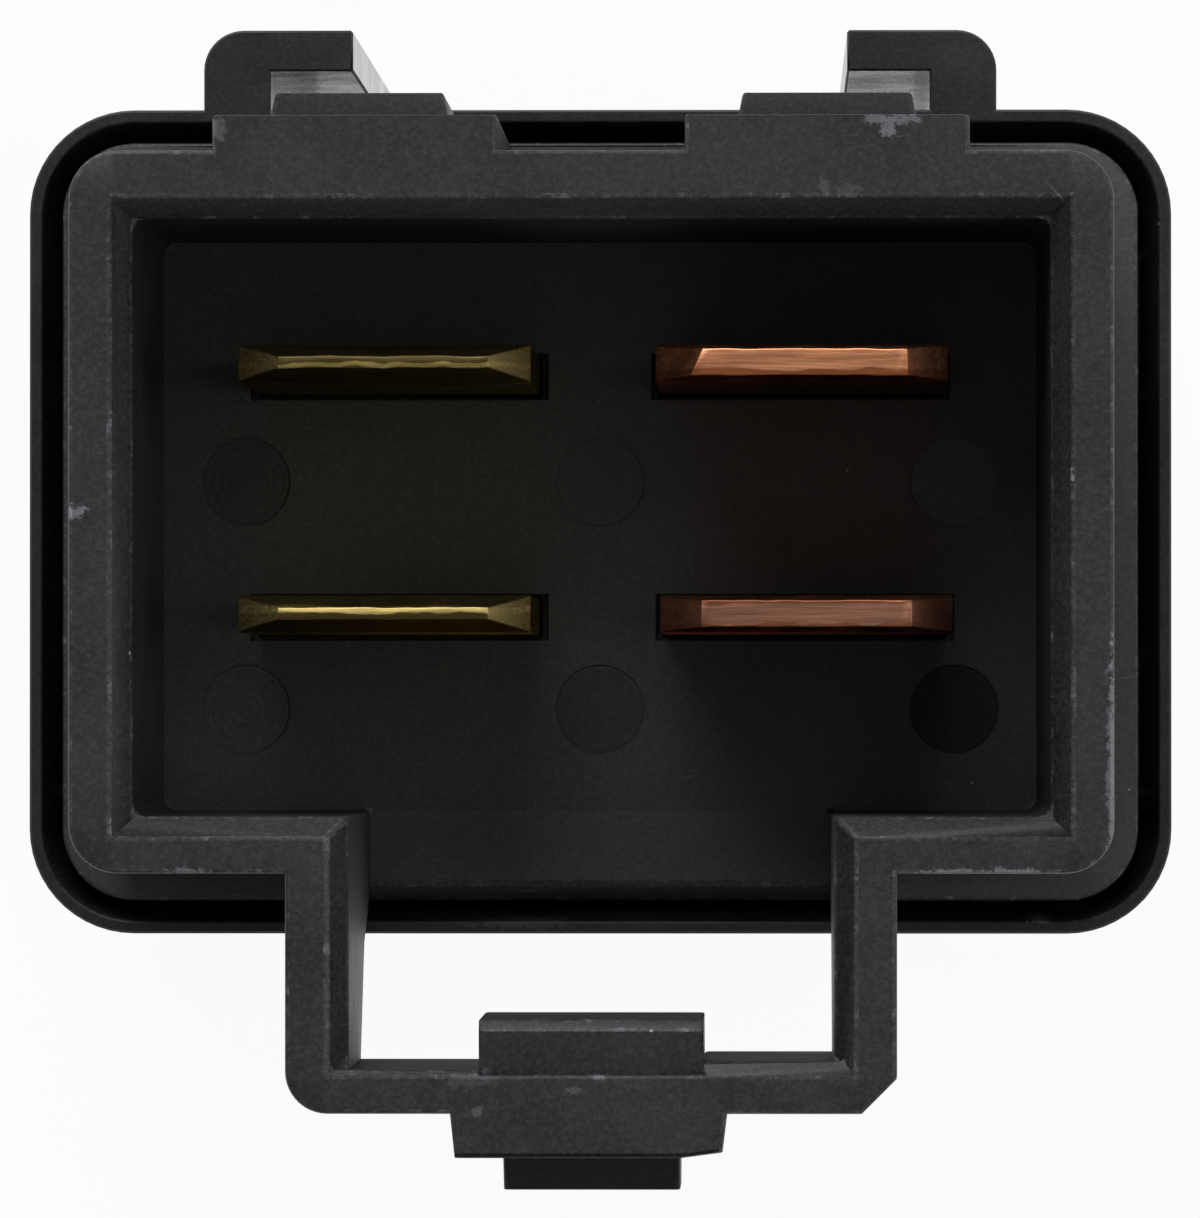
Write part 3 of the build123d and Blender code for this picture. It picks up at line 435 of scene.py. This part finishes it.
    # Rolled lines along the strip, which are really too fine to show and are drawn 0.08 mm apart. The
    # film is matt and the sheet smoother
    fresh = add_node(tree, "ShaderNodeMapRange",
                     {"Value": (drawn, "Fac"), "From Min": 0.3, "From Max": 0.7,
                      "To Min": roughness - 0.08, "To Max": roughness + 0.12})
    matt = add_node(tree, "ShaderNodeMapRange",
                    {"Value": (off_sheet, "Result"), "From Min": 0.0, "From Max": 1.0,
                     "To Min": -0.1, "To Max": 0.22})
    sheen = add_node(tree, "ShaderNodeMath",
                     {0: (off_flat, "Result"), 1: (matt, "Result"), 2: (fresh, "Result")},
                     operation="MULTIPLY_ADD")
    relief = add_node(tree, "ShaderNodeBump",
                      {"Height": (drawn, "Fac"), "Strength": 0.5, "Distance": 0.012 * MM})
    shader = add_node(tree, "ShaderNodeBsdfPrincipled",
                      {"Base Color": (skin, "Result"), "Metallic": 1.0, "Roughness": (sheen, "Value"),
                       "Specular Tint": linear(tarnish), "Normal": (relief, "Normal")})
    add_node(tree, "ShaderNodeOutputMaterial", {"Surface": (shader, "BSDF")})
    return material


def plated_metal(name, colour, stain, roughness, grain):
    """Plated, rolled or enamelled metal: an even bright skin with a fine crystal grain and soft stains.
    The grain is the crystals' size in millimetres, and coarser than the real one, which is too fine to
    show."""
    material, tree = new_material(name)
    place = add_node(tree, "ShaderNodeTexCoord")
    soft = add_node(tree, "ShaderNodeTexNoise",
                    {"Vector": (place, "Object"), "Scale": per_mm(1.6), "Detail": 4.0})
    crystals = add_node(tree, "ShaderNodeTexVoronoi", {"Vector": (place, "Object"), "Scale": per_mm(grain)})
    glint = add_node(tree, "ShaderNodeSeparateColor", {"Color": (crystals, "Color")})
    share = add_node(tree, "ShaderNodeMapRange",
                     {"Value": (soft, "Fac"), "From Min": 0.4, "From Max": 0.8,
                      "To Min": 0.0, "To Max": 0.55})
    skin = add_node(tree, "ShaderNodeMix",
                    {"Factor": (share, "Result"), "A": linear(colour), "B": linear(stain)}, data_type="RGBA")
    sheen = add_node(tree, "ShaderNodeMapRange",
                     {"Value": (glint, "Red"), "From Min": 0.0, "From Max": 1.0,
                      "To Min": roughness - 0.07, "To Max": roughness + 0.07})
    relief = add_node(tree, "ShaderNodeBump",
                      {"Height": (glint, "Green"), "Strength": 0.12, "Distance": 0.01 * MM})
    shader = add_node(tree, "ShaderNodeBsdfPrincipled",
                      {"Base Color": (skin, "Result"), "Metallic": 1.0, "Roughness": (sheen, "Result"),
                       "Normal": (relief, "Normal")})
    add_node(tree, "ShaderNodeOutputMaterial", {"Surface": (shader, "BSDF")})
    return material


def lacquer_with_bands(name, colour, mottled, bands):
    """Resistor lacquer, dipped: an even gloss over a mottled bluish body, with the plain colour bands
    that every such resistor has round it."""
    material, tree = new_material(name)
    place = add_node(tree, "ShaderNodeTexCoord")
    along = add_node(tree, "ShaderNodeSeparateXYZ", {"Vector": (place, "Object")})
    mottle = add_node(tree, "ShaderNodeTexNoise",
                      {"Vector": (place, "Object"), "Scale": per_mm(0.8), "Detail": 4.0})
    body = add_node(tree, "ShaderNodeMix",
                    {"Factor": (mottle, "Fac"), "A": linear(colour), "B": linear(mottled)},
                    data_type="RGBA")
    for count, band in enumerate(bands):
        middle = (band_start + band_pitch * count) * MM
        offset = add_node(tree, "ShaderNodeMath", {0: (along, "Y"), 1: middle}, operation="SUBTRACT")
        away = add_node(tree, "ShaderNodeMath", {0: (offset, "Value")}, operation="ABSOLUTE")
        inside = add_node(tree, "ShaderNodeMath",
                          {0: (away, "Value"), 1: band_half_width * MM}, operation="LESS_THAN")
        body = add_node(tree, "ShaderNodeMix",
                        {"Factor": (inside, "Value"), "A": (body, "Result"), "B": linear(band)},
                        data_type="RGBA")
    relief = add_node(tree, "ShaderNodeBump",
                      {"Height": (mottle, "Fac"), "Strength": 0.2, "Distance": 0.02 * MM})
    shader = add_node(tree, "ShaderNodeBsdfPrincipled",
                      {"Base Color": (body, "Result"), "Roughness": 0.22, "IOR": 1.5,
                       "Normal": (relief, "Normal")})
    add_node(tree, "ShaderNodeOutputMaterial", {"Surface": (shader, "BSDF")})
    return material


def studio_white(name):
    """Matt white paper sweep. The camera and reflections see it near full white, and its glow lights
    nothing."""
    material, tree = new_material(name)
    place = add_node(tree, "ShaderNodeTexCoord")
    fibre = add_node(tree, "ShaderNodeTexNoise", {"Vector": (place, "Object"), "Scale": per_mm(1.0)})
    tone = add_node(tree, "ShaderNodeMix",
                    {"Factor": (fibre, "Fac"), "A": linear("#f4f4f4"), "B": linear("#fafafa")},
                    data_type="RGBA")
    paper = add_node(tree, "ShaderNodeBsdfDiffuse", {"Color": (tone, "Result")})
    ray = add_node(tree, "ShaderNodeLightPath")
    seen = add_node(tree, "ShaderNodeMath", {0: (ray, "Is Camera Ray"), 1: (ray, "Is Glossy Ray")},
                    operation="MAXIMUM")
    glow = add_node(tree, "ShaderNodeEmission", {"Color": (1.0, 1.0, 1.0, 1.0), "Strength": (seen, "Value")})
    material.cycles.emission_sampling = "NONE"
    lift = add_node(tree, "ShaderNodeMixShader", {0: 0.94, 1: (paper, "BSDF"), 2: (glow, "Emission")})
    add_node(tree, "ShaderNodeOutputMaterial", {"Surface": (lift, "Shader")})
    return material


# Scuffs on the base and the cover, with one painted highlight among each: place, reach and strength
base_scuffs_and_highlight = (
    ((6.08, 8.32, 37.0), (0.28, 0.14, 0.5), 0.6),
    ((6.32, 8.2, 37.0), (0.2, 0.28, 0.5), 0.7),
    ((6.7, 8.34, 37.0), (0.34, 0.13, 0.5), 0.6),
    ((-7.95, 8.2, 37.0), (0.2, 0.3, 0.5), 0.3),
    ((5.5, 6.8, 37.0), (0.3, 0.2, 0.5), 0.14),
    ((4.95, 6.95, 37.0), (0.12, 0.25, 0.5), 0.2),
    ((-10.97, 0.03, 37.0), (0.24, 0.18, 0.5), 0.7),
    ((10.08, 0.77, 37.0), (0.2, 0.25, 0.6), 0.6),
    ((-8.6, -7.7, 37.0), (0.5, 0.14, 0.5), 0.4),
    ((7.6, -7.68, 37.0), (0.8, 0.1, 0.5), 0.4),
    ((8.9, -7.68, 37.0), (0.7, 0.12, 0.5), 0.45),
    ((9.02, -7.76, 37.0), (0.1, 0.1, 0.5), 0.9),
    # Long pale line down the shroud's right outer edge: partly rubbing, partly a painted highlight of that
    # edge
    ((11.08, -5.6, 37.0), (0.13, 2.6, 0.5), 0.5),
    ((-2.6, -12.1, 37.0), (0.55, 0.22, 0.5), 0.14),
    ((-2.27, -11.9, 37.0), (0.14, 0.1, 0.5), 0.3),
    ((-2.4, -12.78, 37.0), (0.14, 0.16, 0.5), 0.3),
    ((0.15, -12.03, 37.0), (0.2, 0.1, 0.5), 0.3),
    ((-0.3, -12.31, 37.0), (0.24, 0.08, 0.5), 0.25),
)
cover_scuffs_and_highlight = (
    ((9.83, -8.9, 24.9), (0.3, 0.16, 0.5), 0.7),
    ((11.7, -3.0, 24.9), (0.16, 0.14, 0.5), 0.6),
    # Soft pale streak along the cover's lower rim: a painted highlight
    ((-1.74, -9.0, 24.9), (1.3, 0.2, 0.5), 0.3),
    ((11.2, 9.9, 24.9), (0.5, 0.25, 0.5), 0.25),
)

# Finishes of the base, in the order of its slots, and of the cover. The mould leaves the body satin, the
# slope and the pins' faces duller or smoother than it, and the cover's drawn walls glossy. The slope is
# also coloured darker than the body, as painted shade. Wear and dust make the edges and the rim paler,
# and the ledge is coloured paler than the body
base_finishes = [
    moulded_nylon("base_nylon_moulded", "#111113", "#76767c", 0.5, 0.06),
    # Slope under the lock block: duller, and coloured darker than the body as painted shade
    moulded_nylon("base_nylon_dull_shaded_slope", "#0c0c0d", "#606066", 0.6, 0.04, ior=1.2),
    moulded_nylon("base_nylon_socket_floor", "#20201c", "#74746c", 0.5, 0.08, pins=True),
    moulded_nylon("base_nylon_pin_face_dark", "#101010", "#585854", 0.5, 0.05, ior=1.33, pins=True),
    moulded_nylon("base_nylon_pin_face_dim", "#181815", "#68685f", 0.5, 0.1, ior=1.46, pins=True),
    moulded_nylon("base_nylon_pin_face_rubbed", "#2c2c30", "#80808a", 0.5, 0.35, pins=True),
    moulded_nylon("base_nylon_scuffed_rim_and_painted_highlight", "#111113", "#76767c", 0.5, 0.06, scuffs_and_highlights=base_scuffs_and_highlight),
    # Ledge round the cover, coloured paler and rougher than the body
    moulded_nylon("base_nylon_pale_ledge", "#363638", "#808080", 0.7, 0.15),
    moulded_nylon("base_nylon_worn_edge_and_painted_highlight", "#141417", "#94949c", 0.55, 0.5, scuffs_and_highlights=base_scuffs_and_highlight),
]
cover_finishes = [
    moulded_nylon("cover_nylon_moulded", "#121213", "#606064", 0.36, 0.1, scuffs_and_highlights=cover_scuffs_and_highlight),
    moulded_nylon("cover_nylon_drawn_walls", "#161616", "#606064", 0.17, 0.04),
    moulded_nylon("cover_nylon_worn_edge_and_painted_highlight", "#181818", "#707074", 0.5, 0.3, scuffs_and_highlights=cover_scuffs_and_highlight),
]

# Metals of the blades: sheet, burnish band with its painted highlight, torn band, tarnish, roughness and the
# band's place
copper_upper = sheared_metal(
    "copper_sheared_fresh", "#c07a58", "#fbae80", "#b06842", "#6a4230", 0.32, (3.34, 0.22))
# The lower copper blade is coloured darker all over than the upper one, and is rougher
copper_lower = sheared_metal(
    "copper_sheared_darker", "#b06e50", "#a97860", "#8a5840", "#5c3a2c", 0.38, (-2.15, 0.2))
# On the upper brass blade the band is a thin painted highlight line near the lower edge of the tip's flat
brass_upper = sheared_metal(
    "brass_sheared_dulled", "#b49c5c", "#c8b068", "#5c5030", "#8c7e50", 0.34, (3.19, 0.03))
brass_lower = sheared_metal(
    "brass_sheared_fresh", "#b8a060", "#dcc27a", "#5c5030", "#8c7e50", 0.34, (-2.08, 0.06))

# Finishes of the inner pieces and the floor. Zinc is bluish and satin, nickel warmer, bronze golden and
# smooth, silver and tin bright, the wire's clear enamel lets its copper show, and undyed nylon is creamy
zinc_steel = plated_metal("steel_zinc_plated", "#b9bbbf", "#8e9096", 0.38, 0.12)
soft_iron = plated_metal("iron_nickel_plated", "#a9a7a2", "#7e7c78", 0.34, 0.1)
rolled_bronze = plated_metal("bronze_rolled", "#c69a62", "#96703e", 0.3, 0.08)
contact_silver = plated_metal("silver_contact", "#dcdad4", "#a8a49a", 0.28, 0.06)
tinned_copper = plated_metal("copper_tinned", "#c9c9c8", "#9a9a98", 0.25, 0.1)
enamelled_wire = plated_metal("copper_wire_enamelled", "#b5552b", "#7e3316", 0.25, 0.1)
bobbin_nylon = moulded_nylon("bobbin_nylon_natural", "#c9bfa4", "#e8e0cc", 0.45, 0.1)
banded_lacquer = lacquer_with_bands(
    "resistor_lacquer", "#6d8ea0", "#5a7687", ("#b5561f", "#b5561f", "#5a3a24", "#a98a3a"))
white_paper = studio_white("paper_white")


def select_only(piece):
    """Makes this piece the only one selected, and the active one."""
    bpy.ops.object.select_all(action="DESELECT")
    piece.select_set(True)
    bpy.context.view_layer.objects.active = piece


def merged_copy(node, name, split_flats=False):
    """A copy of a CAD node's mesh as a new piece, its points merged and its flat faces joined. Flat
    faces that reach round many corners are split into triangles of an even shape."""
    piece = bpy.data.objects.new(name, frame["nodes"][node].data.copy())
    bpy.context.scene.collection.objects.link(piece)
    select_only(piece)
    if piece.data.has_custom_normals:
        bpy.ops.mesh.customdata_custom_splitnormals_clear()
    bpy.ops.object.mode_set(mode="EDIT")
    bpy.ops.mesh.select_all(action="SELECT")
    bpy.ops.mesh.remove_doubles(threshold=merge_reach * MM)
    bpy.ops.mesh.dissolve_limited(angle_limit=radians(flat_angle))
    if split_flats:
        bpy.ops.mesh.quads_convert_to_tris(quad_method="BEAUTY", ngon_method="BEAUTY")
    bpy.ops.mesh.select_all(action="DESELECT")
    bpy.ops.object.mode_set(mode="OBJECT")
    piece.data.materials.clear()
    return piece


def outer_edges(piece, left_out):
    """Selects the outward corners of the piece, except where left_out says so."""
    bpy.ops.object.mode_set(mode="EDIT")
    bpy.ops.mesh.select_mode(type="EDGE")
    shape = bmesh.from_edit_mesh(piece.data)
    for edge in shape.edges:
        middle = (edge.verts[0].co + edge.verts[1].co) / 2 / MM
        is_corner = edge.calc_face_angle_signed(0.0) > radians(corner_angle)
        edge.select_set(is_corner and not left_out(middle))
    bmesh.update_edit_mesh(piece.data)


def cut_channel_floor(base):
    """Cuts the flat floor of the base where the latch channel leaves the socket, so that the two
    stretches can have finishes of their own."""
    bpy.ops.object.mode_set(mode="EDIT")
    bpy.ops.mesh.select_mode(type="FACE")
    shape = bmesh.from_edit_mesh(base.data)
    for face in shape.faces:
        middle = face.calc_center_median() / MM
        on_floor = abs(middle.z - socket_floor) < same_level and face.normal.z > level
        inside = abs(middle.x) < socket_half_x and channel_end < middle.y < socket_high_y
        face.select_set(on_floor and inside)
    bmesh.update_edit_mesh(base.data)
    bpy.ops.mesh.bisect(plane_co=(0, channel_start * MM, 0), plane_no=(0, 1, 0))
    bpy.ops.mesh.select_all(action="DESELECT")
    bpy.ops.object.mode_set(mode="OBJECT")


def nowhere(point):
    """Leaves no point out."""
    return False


def soft_edged(node, name, width, materials, left_out=nowhere, prepare=None, segments=2):
    """A CAD node's shape with its edges softly rounded, which stands for the node. Prepare is called
    on the piece, its flats split, before its edges are rounded. The last material is the one on the
    rounding."""
    piece = merged_copy(node, name, split_flats=prepare is not None)
    if prepare:
        prepare(piece)
    for material in materials:
        piece.data.materials.append(material)
    outer_edges(piece, left_out)
    bpy.ops.mesh.bevel(
        offset_type="OFFSET",
        offset=width * MM,
        segments=segments,
        affect="EDGES",
        clamp_overlap=False,
        loop_slide=True,
        material=len(materials) - 1,
    )
    bpy.ops.object.mode_set(mode="OBJECT")
    bpy.ops.object.shade_smooth_by_angle(angle=radians(smooth_angle))
    for face in piece.data.polygons:
        if left_out(face.center / MM):
            face.use_smooth = False
    even = piece.modifiers.new("even_normals", "WEIGHTED_NORMAL")
    even.keep_sharp = True
    bpy.ops.object.modifier_apply(modifier=even.name)
    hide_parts(node)
    return piece


def at_socket_floor(point):
    """Whether a point in millimetres is on the socket floor, inside the shroud. The steps of the pin
    marks there are too shallow for a rounded edge."""
    on_level = abs(point.z - socket_floor) < floor_reach
    return on_level and abs(point.x) < socket_half_x and channel_start < point.y < socket_high_y


def finish_base(base):
    """Gives the faces of the base that differ from its body their own slots."""
    for face in base.data.polygons:
        middle = face.center / MM
        on_rim = middle.z > rim_z - rim_reach and face.normal.z > level
        on_ledge = lowest_ledge < middle.z < socket_floor + ledge_reach and face.normal.z > nearly_level
        leans = least_lean < -face.normal.y < most_lean and face.normal.z > least_lean
        if face.material_index == body_slot and on_rim:
            face.material_index = rim_slot
        if face.material_index == body_slot and on_ledge:
            face.material_index = ledge_slot
        if middle.y < lock_slope_y and leans:
            face.material_index = shaded_slope_slot
        elif at_socket_floor(middle):
            face.material_index = floor_slot
            for x, y, slot in floor_pins:
                if (middle - Vector((x, y, middle.z))).length < pin_radius:
                    face.material_index = slot


base_moulding = soft_edged(
    "base", "base_moulding", mould_edge, base_finishes, at_socket_floor, cut_channel_floor)
finish_base(base_moulding)
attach(base_moulding, "housing")

# Cover, its upright walls drawn smooth by the mould
cover_moulding = soft_edged("cover", "cover_moulding", cover_edge, cover_finishes, segments=1)
for face in cover_moulding.data.polygons:
    if abs(face.normal.z) < upright and face.material_index == cover_body_slot:
        face.material_index = cover_wall_slot
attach(cover_moulding, "housing")


def worn_tip(blade, tip_z, slant):
    """Gives a blade's tip its uneven sheared edge: cut across finely, its flat pulled about a little,
    its ends crowned and its left end slanted."""
    select_only(blade)
    tip_foot = tip_z - tip_reach * tip_depth * MM
    tip = [point.co.copy() for point in blade.data.vertices if point.co.z > tip_foot]
    left = min(point.x for point in tip)
    right = max(point.x for point in tip)
    middle_y = (min(point.y for point in tip) + max(point.y for point in tip)) / 2
    bpy.ops.object.mode_set(mode="EDIT")
    bpy.ops.mesh.select_mode(type="FACE")
    for cut in range(1, tip_cuts):
        shape = bmesh.from_edit_mesh(blade.data)
        for face in shape.faces:
            face.select_set(min(point.co.z for point in face.verts) > tip_foot)
        bmesh.update_edit_mesh(blade.data)
        bpy.ops.mesh.bisect(
            plane_co=(left + (right - left) * cut / tip_cuts, 0, 0), plane_no=(1, 0, 0))
    bpy.ops.object.mode_set(mode="OBJECT")
    for point in blade.data.vertices:
        depth = (tip_z - point.co.z) / (tip_depth * MM)
        if depth > tip_changed_share or point.co.x < left or point.co.x > right:
            continue
        seed = Vector((point.co.x / MM * tip_waves, middle_y / MM, 0.0))
        held = 1 - depth
        point.co.y += held * tip_wander * MM * noise.noise(seed)
        point.co.z += tip_crown * MM * sin(pi * depth) * (depth > tip_flat_share)
        if point.co.x < (left + right) / 2:
            point.co.x += held * slant * (point.co.y - middle_y)
    bpy.ops.mesh.customdata_custom_splitnormals_clear()
    bpy.ops.object.shade_smooth_by_angle(angle=radians(tip_smooth_angle))


# Blades: the metal of each and its tip's slant
terminals = {
    "load_terminal": (copper_upper, tip_slant),
    "common_terminal": (copper_lower, 0.0),
    "coil_terminal_upper": (brass_upper, 0.0),
    "coil_terminal_lower": (brass_lower, 0.0),
}
for node, (metal, slant) in terminals.items():
    blade = soft_edged(node, node + "_sheared", blade_edge, [metal])
    worn_tip(blade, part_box(node)[1].z, slant)
    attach(blade, "housing")

# Inner pieces stamped, turned or moulded to the CAD node's own shape, with soft edges
inner_pieces = {
    "yoke": (zinc_steel, stamped_edge, "housing"),
    "core": (soft_iron, stamped_edge, "housing"),
    "bobbin": (bobbin_nylon, mould_edge, "housing"),
    "stop_bracket": (zinc_steel, stamped_edge, "housing"),
    "fixed_contact": (contact_silver, contact_edge, "housing"),
    "yoke_rivets": (zinc_steel, rivet_edge, "housing"),
    "armature": (soft_iron, stamped_edge, "armature"),
    "moving_contact": (contact_silver, contact_edge, "armature"),
    "armature_rivets": (zinc_steel, rivet_edge, "armature"),
}
for node, (finish, rounding, body) in inner_pieces.items():
    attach(soft_edged(node, node + "_finished", rounding, [finish]), body)


def apply_modifier(piece, kind, **settings):
    """Adds a modifier with its settings and applies it."""
    made = piece.modifiers.new(kind.lower(), kind)
    for name, value in settings.items():
        setattr(made, name, value)
    select_only(piece)
    bpy.ops.object.modifier_apply(modifier=made.name)


def finish_piece(piece, name, finish, node):
    """Names a modelled piece, puts its place into its mesh, gives it its finish, and lets it stand for
    its CAD node in the housing."""
    select_only(piece)
    bpy.ops.object.transform_apply(location=True, rotation=True, scale=True)
    piece.name = name
    piece.data.materials.clear()
    piece.data.materials.append(finish)
    bpy.ops.object.shade_smooth_by_angle(angle=radians(smooth_angle))
    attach(piece, "housing")
    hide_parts(node)


def wound_coil():
    """The outer layer of the winding: one wire wound in a helix from flange to flange, on the
    layers below it."""
    low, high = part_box("coil_winding")
    wire = (high.z - low.z) / coil_turns / 2
    radius = (high.x - low.x) / 2
    centre = (low + high) / 2
    bpy.ops.mesh.primitive_circle_add(
        vertices=coil_wire_sides,
        radius=wire,
        location=(centre.x, centre.y, low.z + wire),
        rotation=(radians(90), 0, 0),
    )
    coil = bpy.context.object
    bpy.ops.object.transform_apply(location=False, rotation=True, scale=True)
    coil.data.transform(Matrix.Translation((radius - wire, 0, 0)))
    apply_modifier(
        coil,
        "SCREW",
        steps=coil_steps,
        render_steps=coil_steps,
        iterations=coil_turns - 1,
        screw_offset=2 * wire,
        use_merge_vertices=False,
    )
    bpy.ops.mesh.primitive_cylinder_add(
        vertices=coil_core_sides, radius=radius - wire, depth=high.z - low.z, location=centre)
    bpy.ops.object.mode_set(mode="EDIT")
    bpy.ops.mesh.select_all(action="SELECT")
    bpy.ops.mesh.normals_make_consistent(inside=False)
    bpy.ops.mesh.bevel(offset=wire / 2, segments=2, affect="EDGES")
    bpy.ops.object.mode_set(mode="OBJECT")
    coil.select_set(True)
    bpy.context.view_layer.objects.active = coil
    bpy.ops.object.join()
    bpy.ops.object.mode_set(mode="EDIT")
    bpy.ops.mesh.select_all(action="SELECT")
    bpy.ops.mesh.normals_make_consistent(inside=False)
    bpy.ops.object.mode_set(mode="OBJECT")
    finish_piece(coil, "winding_turns", enamelled_wire, "coil_winding")


def bent_leaf():
    """The leaf spring, cut across finely round its bend."""
    leaf = merged_copy("contact_spring", "leaf_spring")
    low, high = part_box("contact_spring")
    hinge = Vector(frame["joints"][0]["pos_m"])
    bpy.ops.object.mode_set(mode="EDIT")
    for step in range(1, leaf_cuts):
        cut_x = low.x + step * leaf_bend_zone / leaf_cuts * MM
        cut_z = hinge.z + (1 - 2 * step / leaf_cuts) * leaf_bend_zone * MM
        bpy.ops.mesh.select_all(action="SELECT")
        bpy.ops.mesh.bisect(plane_co=(cut_x, 0, 0), plane_no=(1, 0, 0))
        bpy.ops.mesh.select_all(action="SELECT")
        bpy.ops.mesh.bisect(plane_co=(0, 0, cut_z), plane_no=(0, 0, 1))
    bpy.ops.object.mode_set(mode="OBJECT")
    leaf.data.materials.append(rolled_bronze)
    bpy.ops.object.shade_smooth_by_angle(angle=radians(leaf_smooth_angle))
    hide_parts("contact_spring")
    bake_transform(leaf)


def resistor():
    """A wire-wound resistor: a lacquered barrel that swells over its two end caps."""
    low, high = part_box("resistor_body")
    centre = (low + high) / 2
    radius = (high.x - low.x) / 2
    bpy.ops.mesh.primitive_cylinder_add(
        vertices=barrel_sides,
        radius=radius,
        depth=high.y - low.y,
        location=centre,
        rotation=(radians(90), 0, 0),
    )
    barrel = bpy.context.object
    bpy.ops.object.mode_set(mode="EDIT")
    bpy.ops.mesh.select_mode(type="EDGE")
    bpy.ops.mesh.select_all(action="SELECT")
    bpy.ops.mesh.bevel(offset=cap_rounding * MM, segments=4, affect="EDGES")
    bpy.ops.object.mode_set(mode="OBJECT")
    bpy.ops.object.transform_apply(location=True, rotation=True, scale=True)
    bpy.ops.object.mode_set(mode="EDIT")
    for place in (-cap_start, -waist_end, waist_end, cap_start):
        bpy.ops.mesh.select_all(action="SELECT")
        bpy.ops.mesh.bisect(plane_co=(0, centre.y + place * MM, 0), plane_no=(0, 1, 0))
    bpy.ops.object.mode_set(mode="OBJECT")
    for point in barrel.data.vertices:
        if abs(point.co.y - centre.y) < waist_reach * MM:
            point.co.x = centre.x + (point.co.x - centre.x) * waist_share
            point.co.z = centre.z + (point.co.z - centre.z) * waist_share
    finish_piece(barrel, "resistor_barrel", banded_lacquer, "resistor_body")


def bent_wires(node, name, routes, radius, metal):
    """Round wires bent along their routes, which stand for the CAD node's straight runs."""
    shape = bpy.data.curves.new(name, "CURVE")
    shape.dimensions = "3D"
    shape.bevel_depth = radius
    shape.bevel_resolution = 3
    shape.use_fill_caps = True
    shape.resolution_u = 10
    for route in routes:
        line = shape.splines.new("NURBS")
        line.points.add(len(route) - 1)
        for point, place in zip(line.points, route):
            point.co = (*place, 1.0)
        line.order_u = 3
        line.use_endpoint_u = True
    wires = bpy.data.objects.new(name, shape)
    bpy.context.scene.collection.objects.link(wires)
    select_only(wires)
    bpy.ops.object.convert(target="MESH")
    finish_piece(bpy.context.object, name, metal, node)


def resistor_wires():
    """The resistor's two leads, each bent round from the barrel to a coil terminal's tail."""
    low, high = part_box("resistor_leads")
    body_low, body_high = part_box("resistor_body")
    radius = (high.z - low.z) / 2
    z = (low.z + high.z) / 2
    x = (body_low.x + body_high.x) / 2
    corner = lead_corner * MM
    routes = []
    for side in (-1, 1):
        y = side * (high.y - radius)
        routes.append([
            (x, side * body_high.y * lead_start_share, z),
            (x, y - side * corner, z),
            (x, y, z),
            (x - corner, y, z),
            (low.x, y, z),
        ])
    bent_wires("resistor_leads", "resistor_lead_wires", routes, radius * lead_share, tinned_copper)


def solder_beads():
    """Solder run round each lead's end: the CAD bead swollen and smoothed to a drop."""
    beads = merged_copy("solder_joints", "solder_beads")
    apply_modifier(beads, "REMESH", mode="VOXEL", voxel_size=bead_grain * MM)
    apply_modifier(beads, "SMOOTH", factor=0.8, iterations=14)
    finish_piece(beads, "solder_beads", tinned_copper, "solder_joints")


wound_coil()
bent_leaf()
resistor()
resistor_wires()
solder_beads()
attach(soft_edged("coil_leads", "coil_lead_wires", lead_edge, [enamelled_wire]), "housing")

# Floor
bpy.ops.object.select_all(action="DESELECT")
bpy.ops.mesh.primitive_plane_add(size=floor_size, location=(0, 0, -floor_clearance * MM))
floor = bpy.context.object
floor.name = "floor"
floor.data.materials.append(white_paper)


def soft_lamp(name, place, aim, size, power):
    """A square soft box at a place in millimetres, facing its aim."""
    direction = Vector(aim) - Vector(place)
    bpy.ops.object.light_add(type="AREA", location=Vector(place) * MM,
                             rotation=direction.to_track_quat("-Z", "Y").to_euler())
    lamp = bpy.context.object
    lamp.name = name
    lamp.data.shape = "SQUARE"
    lamp.data.size = size * MM
    lamp.data.energy = power


# Lamps beyond the hooks and at the right, aimed at the socket, and a dim white surround
lamp_aim = (0, 0, 30)
lamp_size = 300
soft_lamp("key_box", (-80, 385, 485), lamp_aim, lamp_size, 1.35)
soft_lamp("low_box", (-80, 560, 230), lamp_aim, lamp_size, 1.5)
soft_lamp("side_box", (430, 0, 450), lamp_aim, lamp_size, 0.85)
world = bpy.data.worlds.new("studio")
bpy.context.scene.world = world
world.use_nodes = True
world.node_tree.nodes.clear()
surround = add_node(world.node_tree, "ShaderNodeBackground",
                    {"Color": (1.0, 1.0, 1.0, 1.0), "Strength": 0.25})
add_node(world.node_tree, "ShaderNodeOutputWorld", {"Surface": (surround, "Background")})

# Camera over the socket, with the hooks' side up
camera_data = bpy.data.cameras.new("camera")
camera_data.sensor_width = sensor_width
camera_data.lens = sensor_width * focal_pixels / image_height
camera_data.clip_start = 0.01
camera = bpy.data.objects.new("camera", camera_data)
bpy.context.scene.collection.objects.link(camera)
camera.location = Vector((camera_x, camera_y, camera_height)) * MM
camera.rotation_euler = (
    atan((aim_y - camera_y) / (camera_height - aim_z)),
    atan(camera_x / (camera_height - aim_z)),
    0.0,
)
bpy.context.scene.camera = camera
bpy.context.scene.view_settings.view_transform = "Standard"
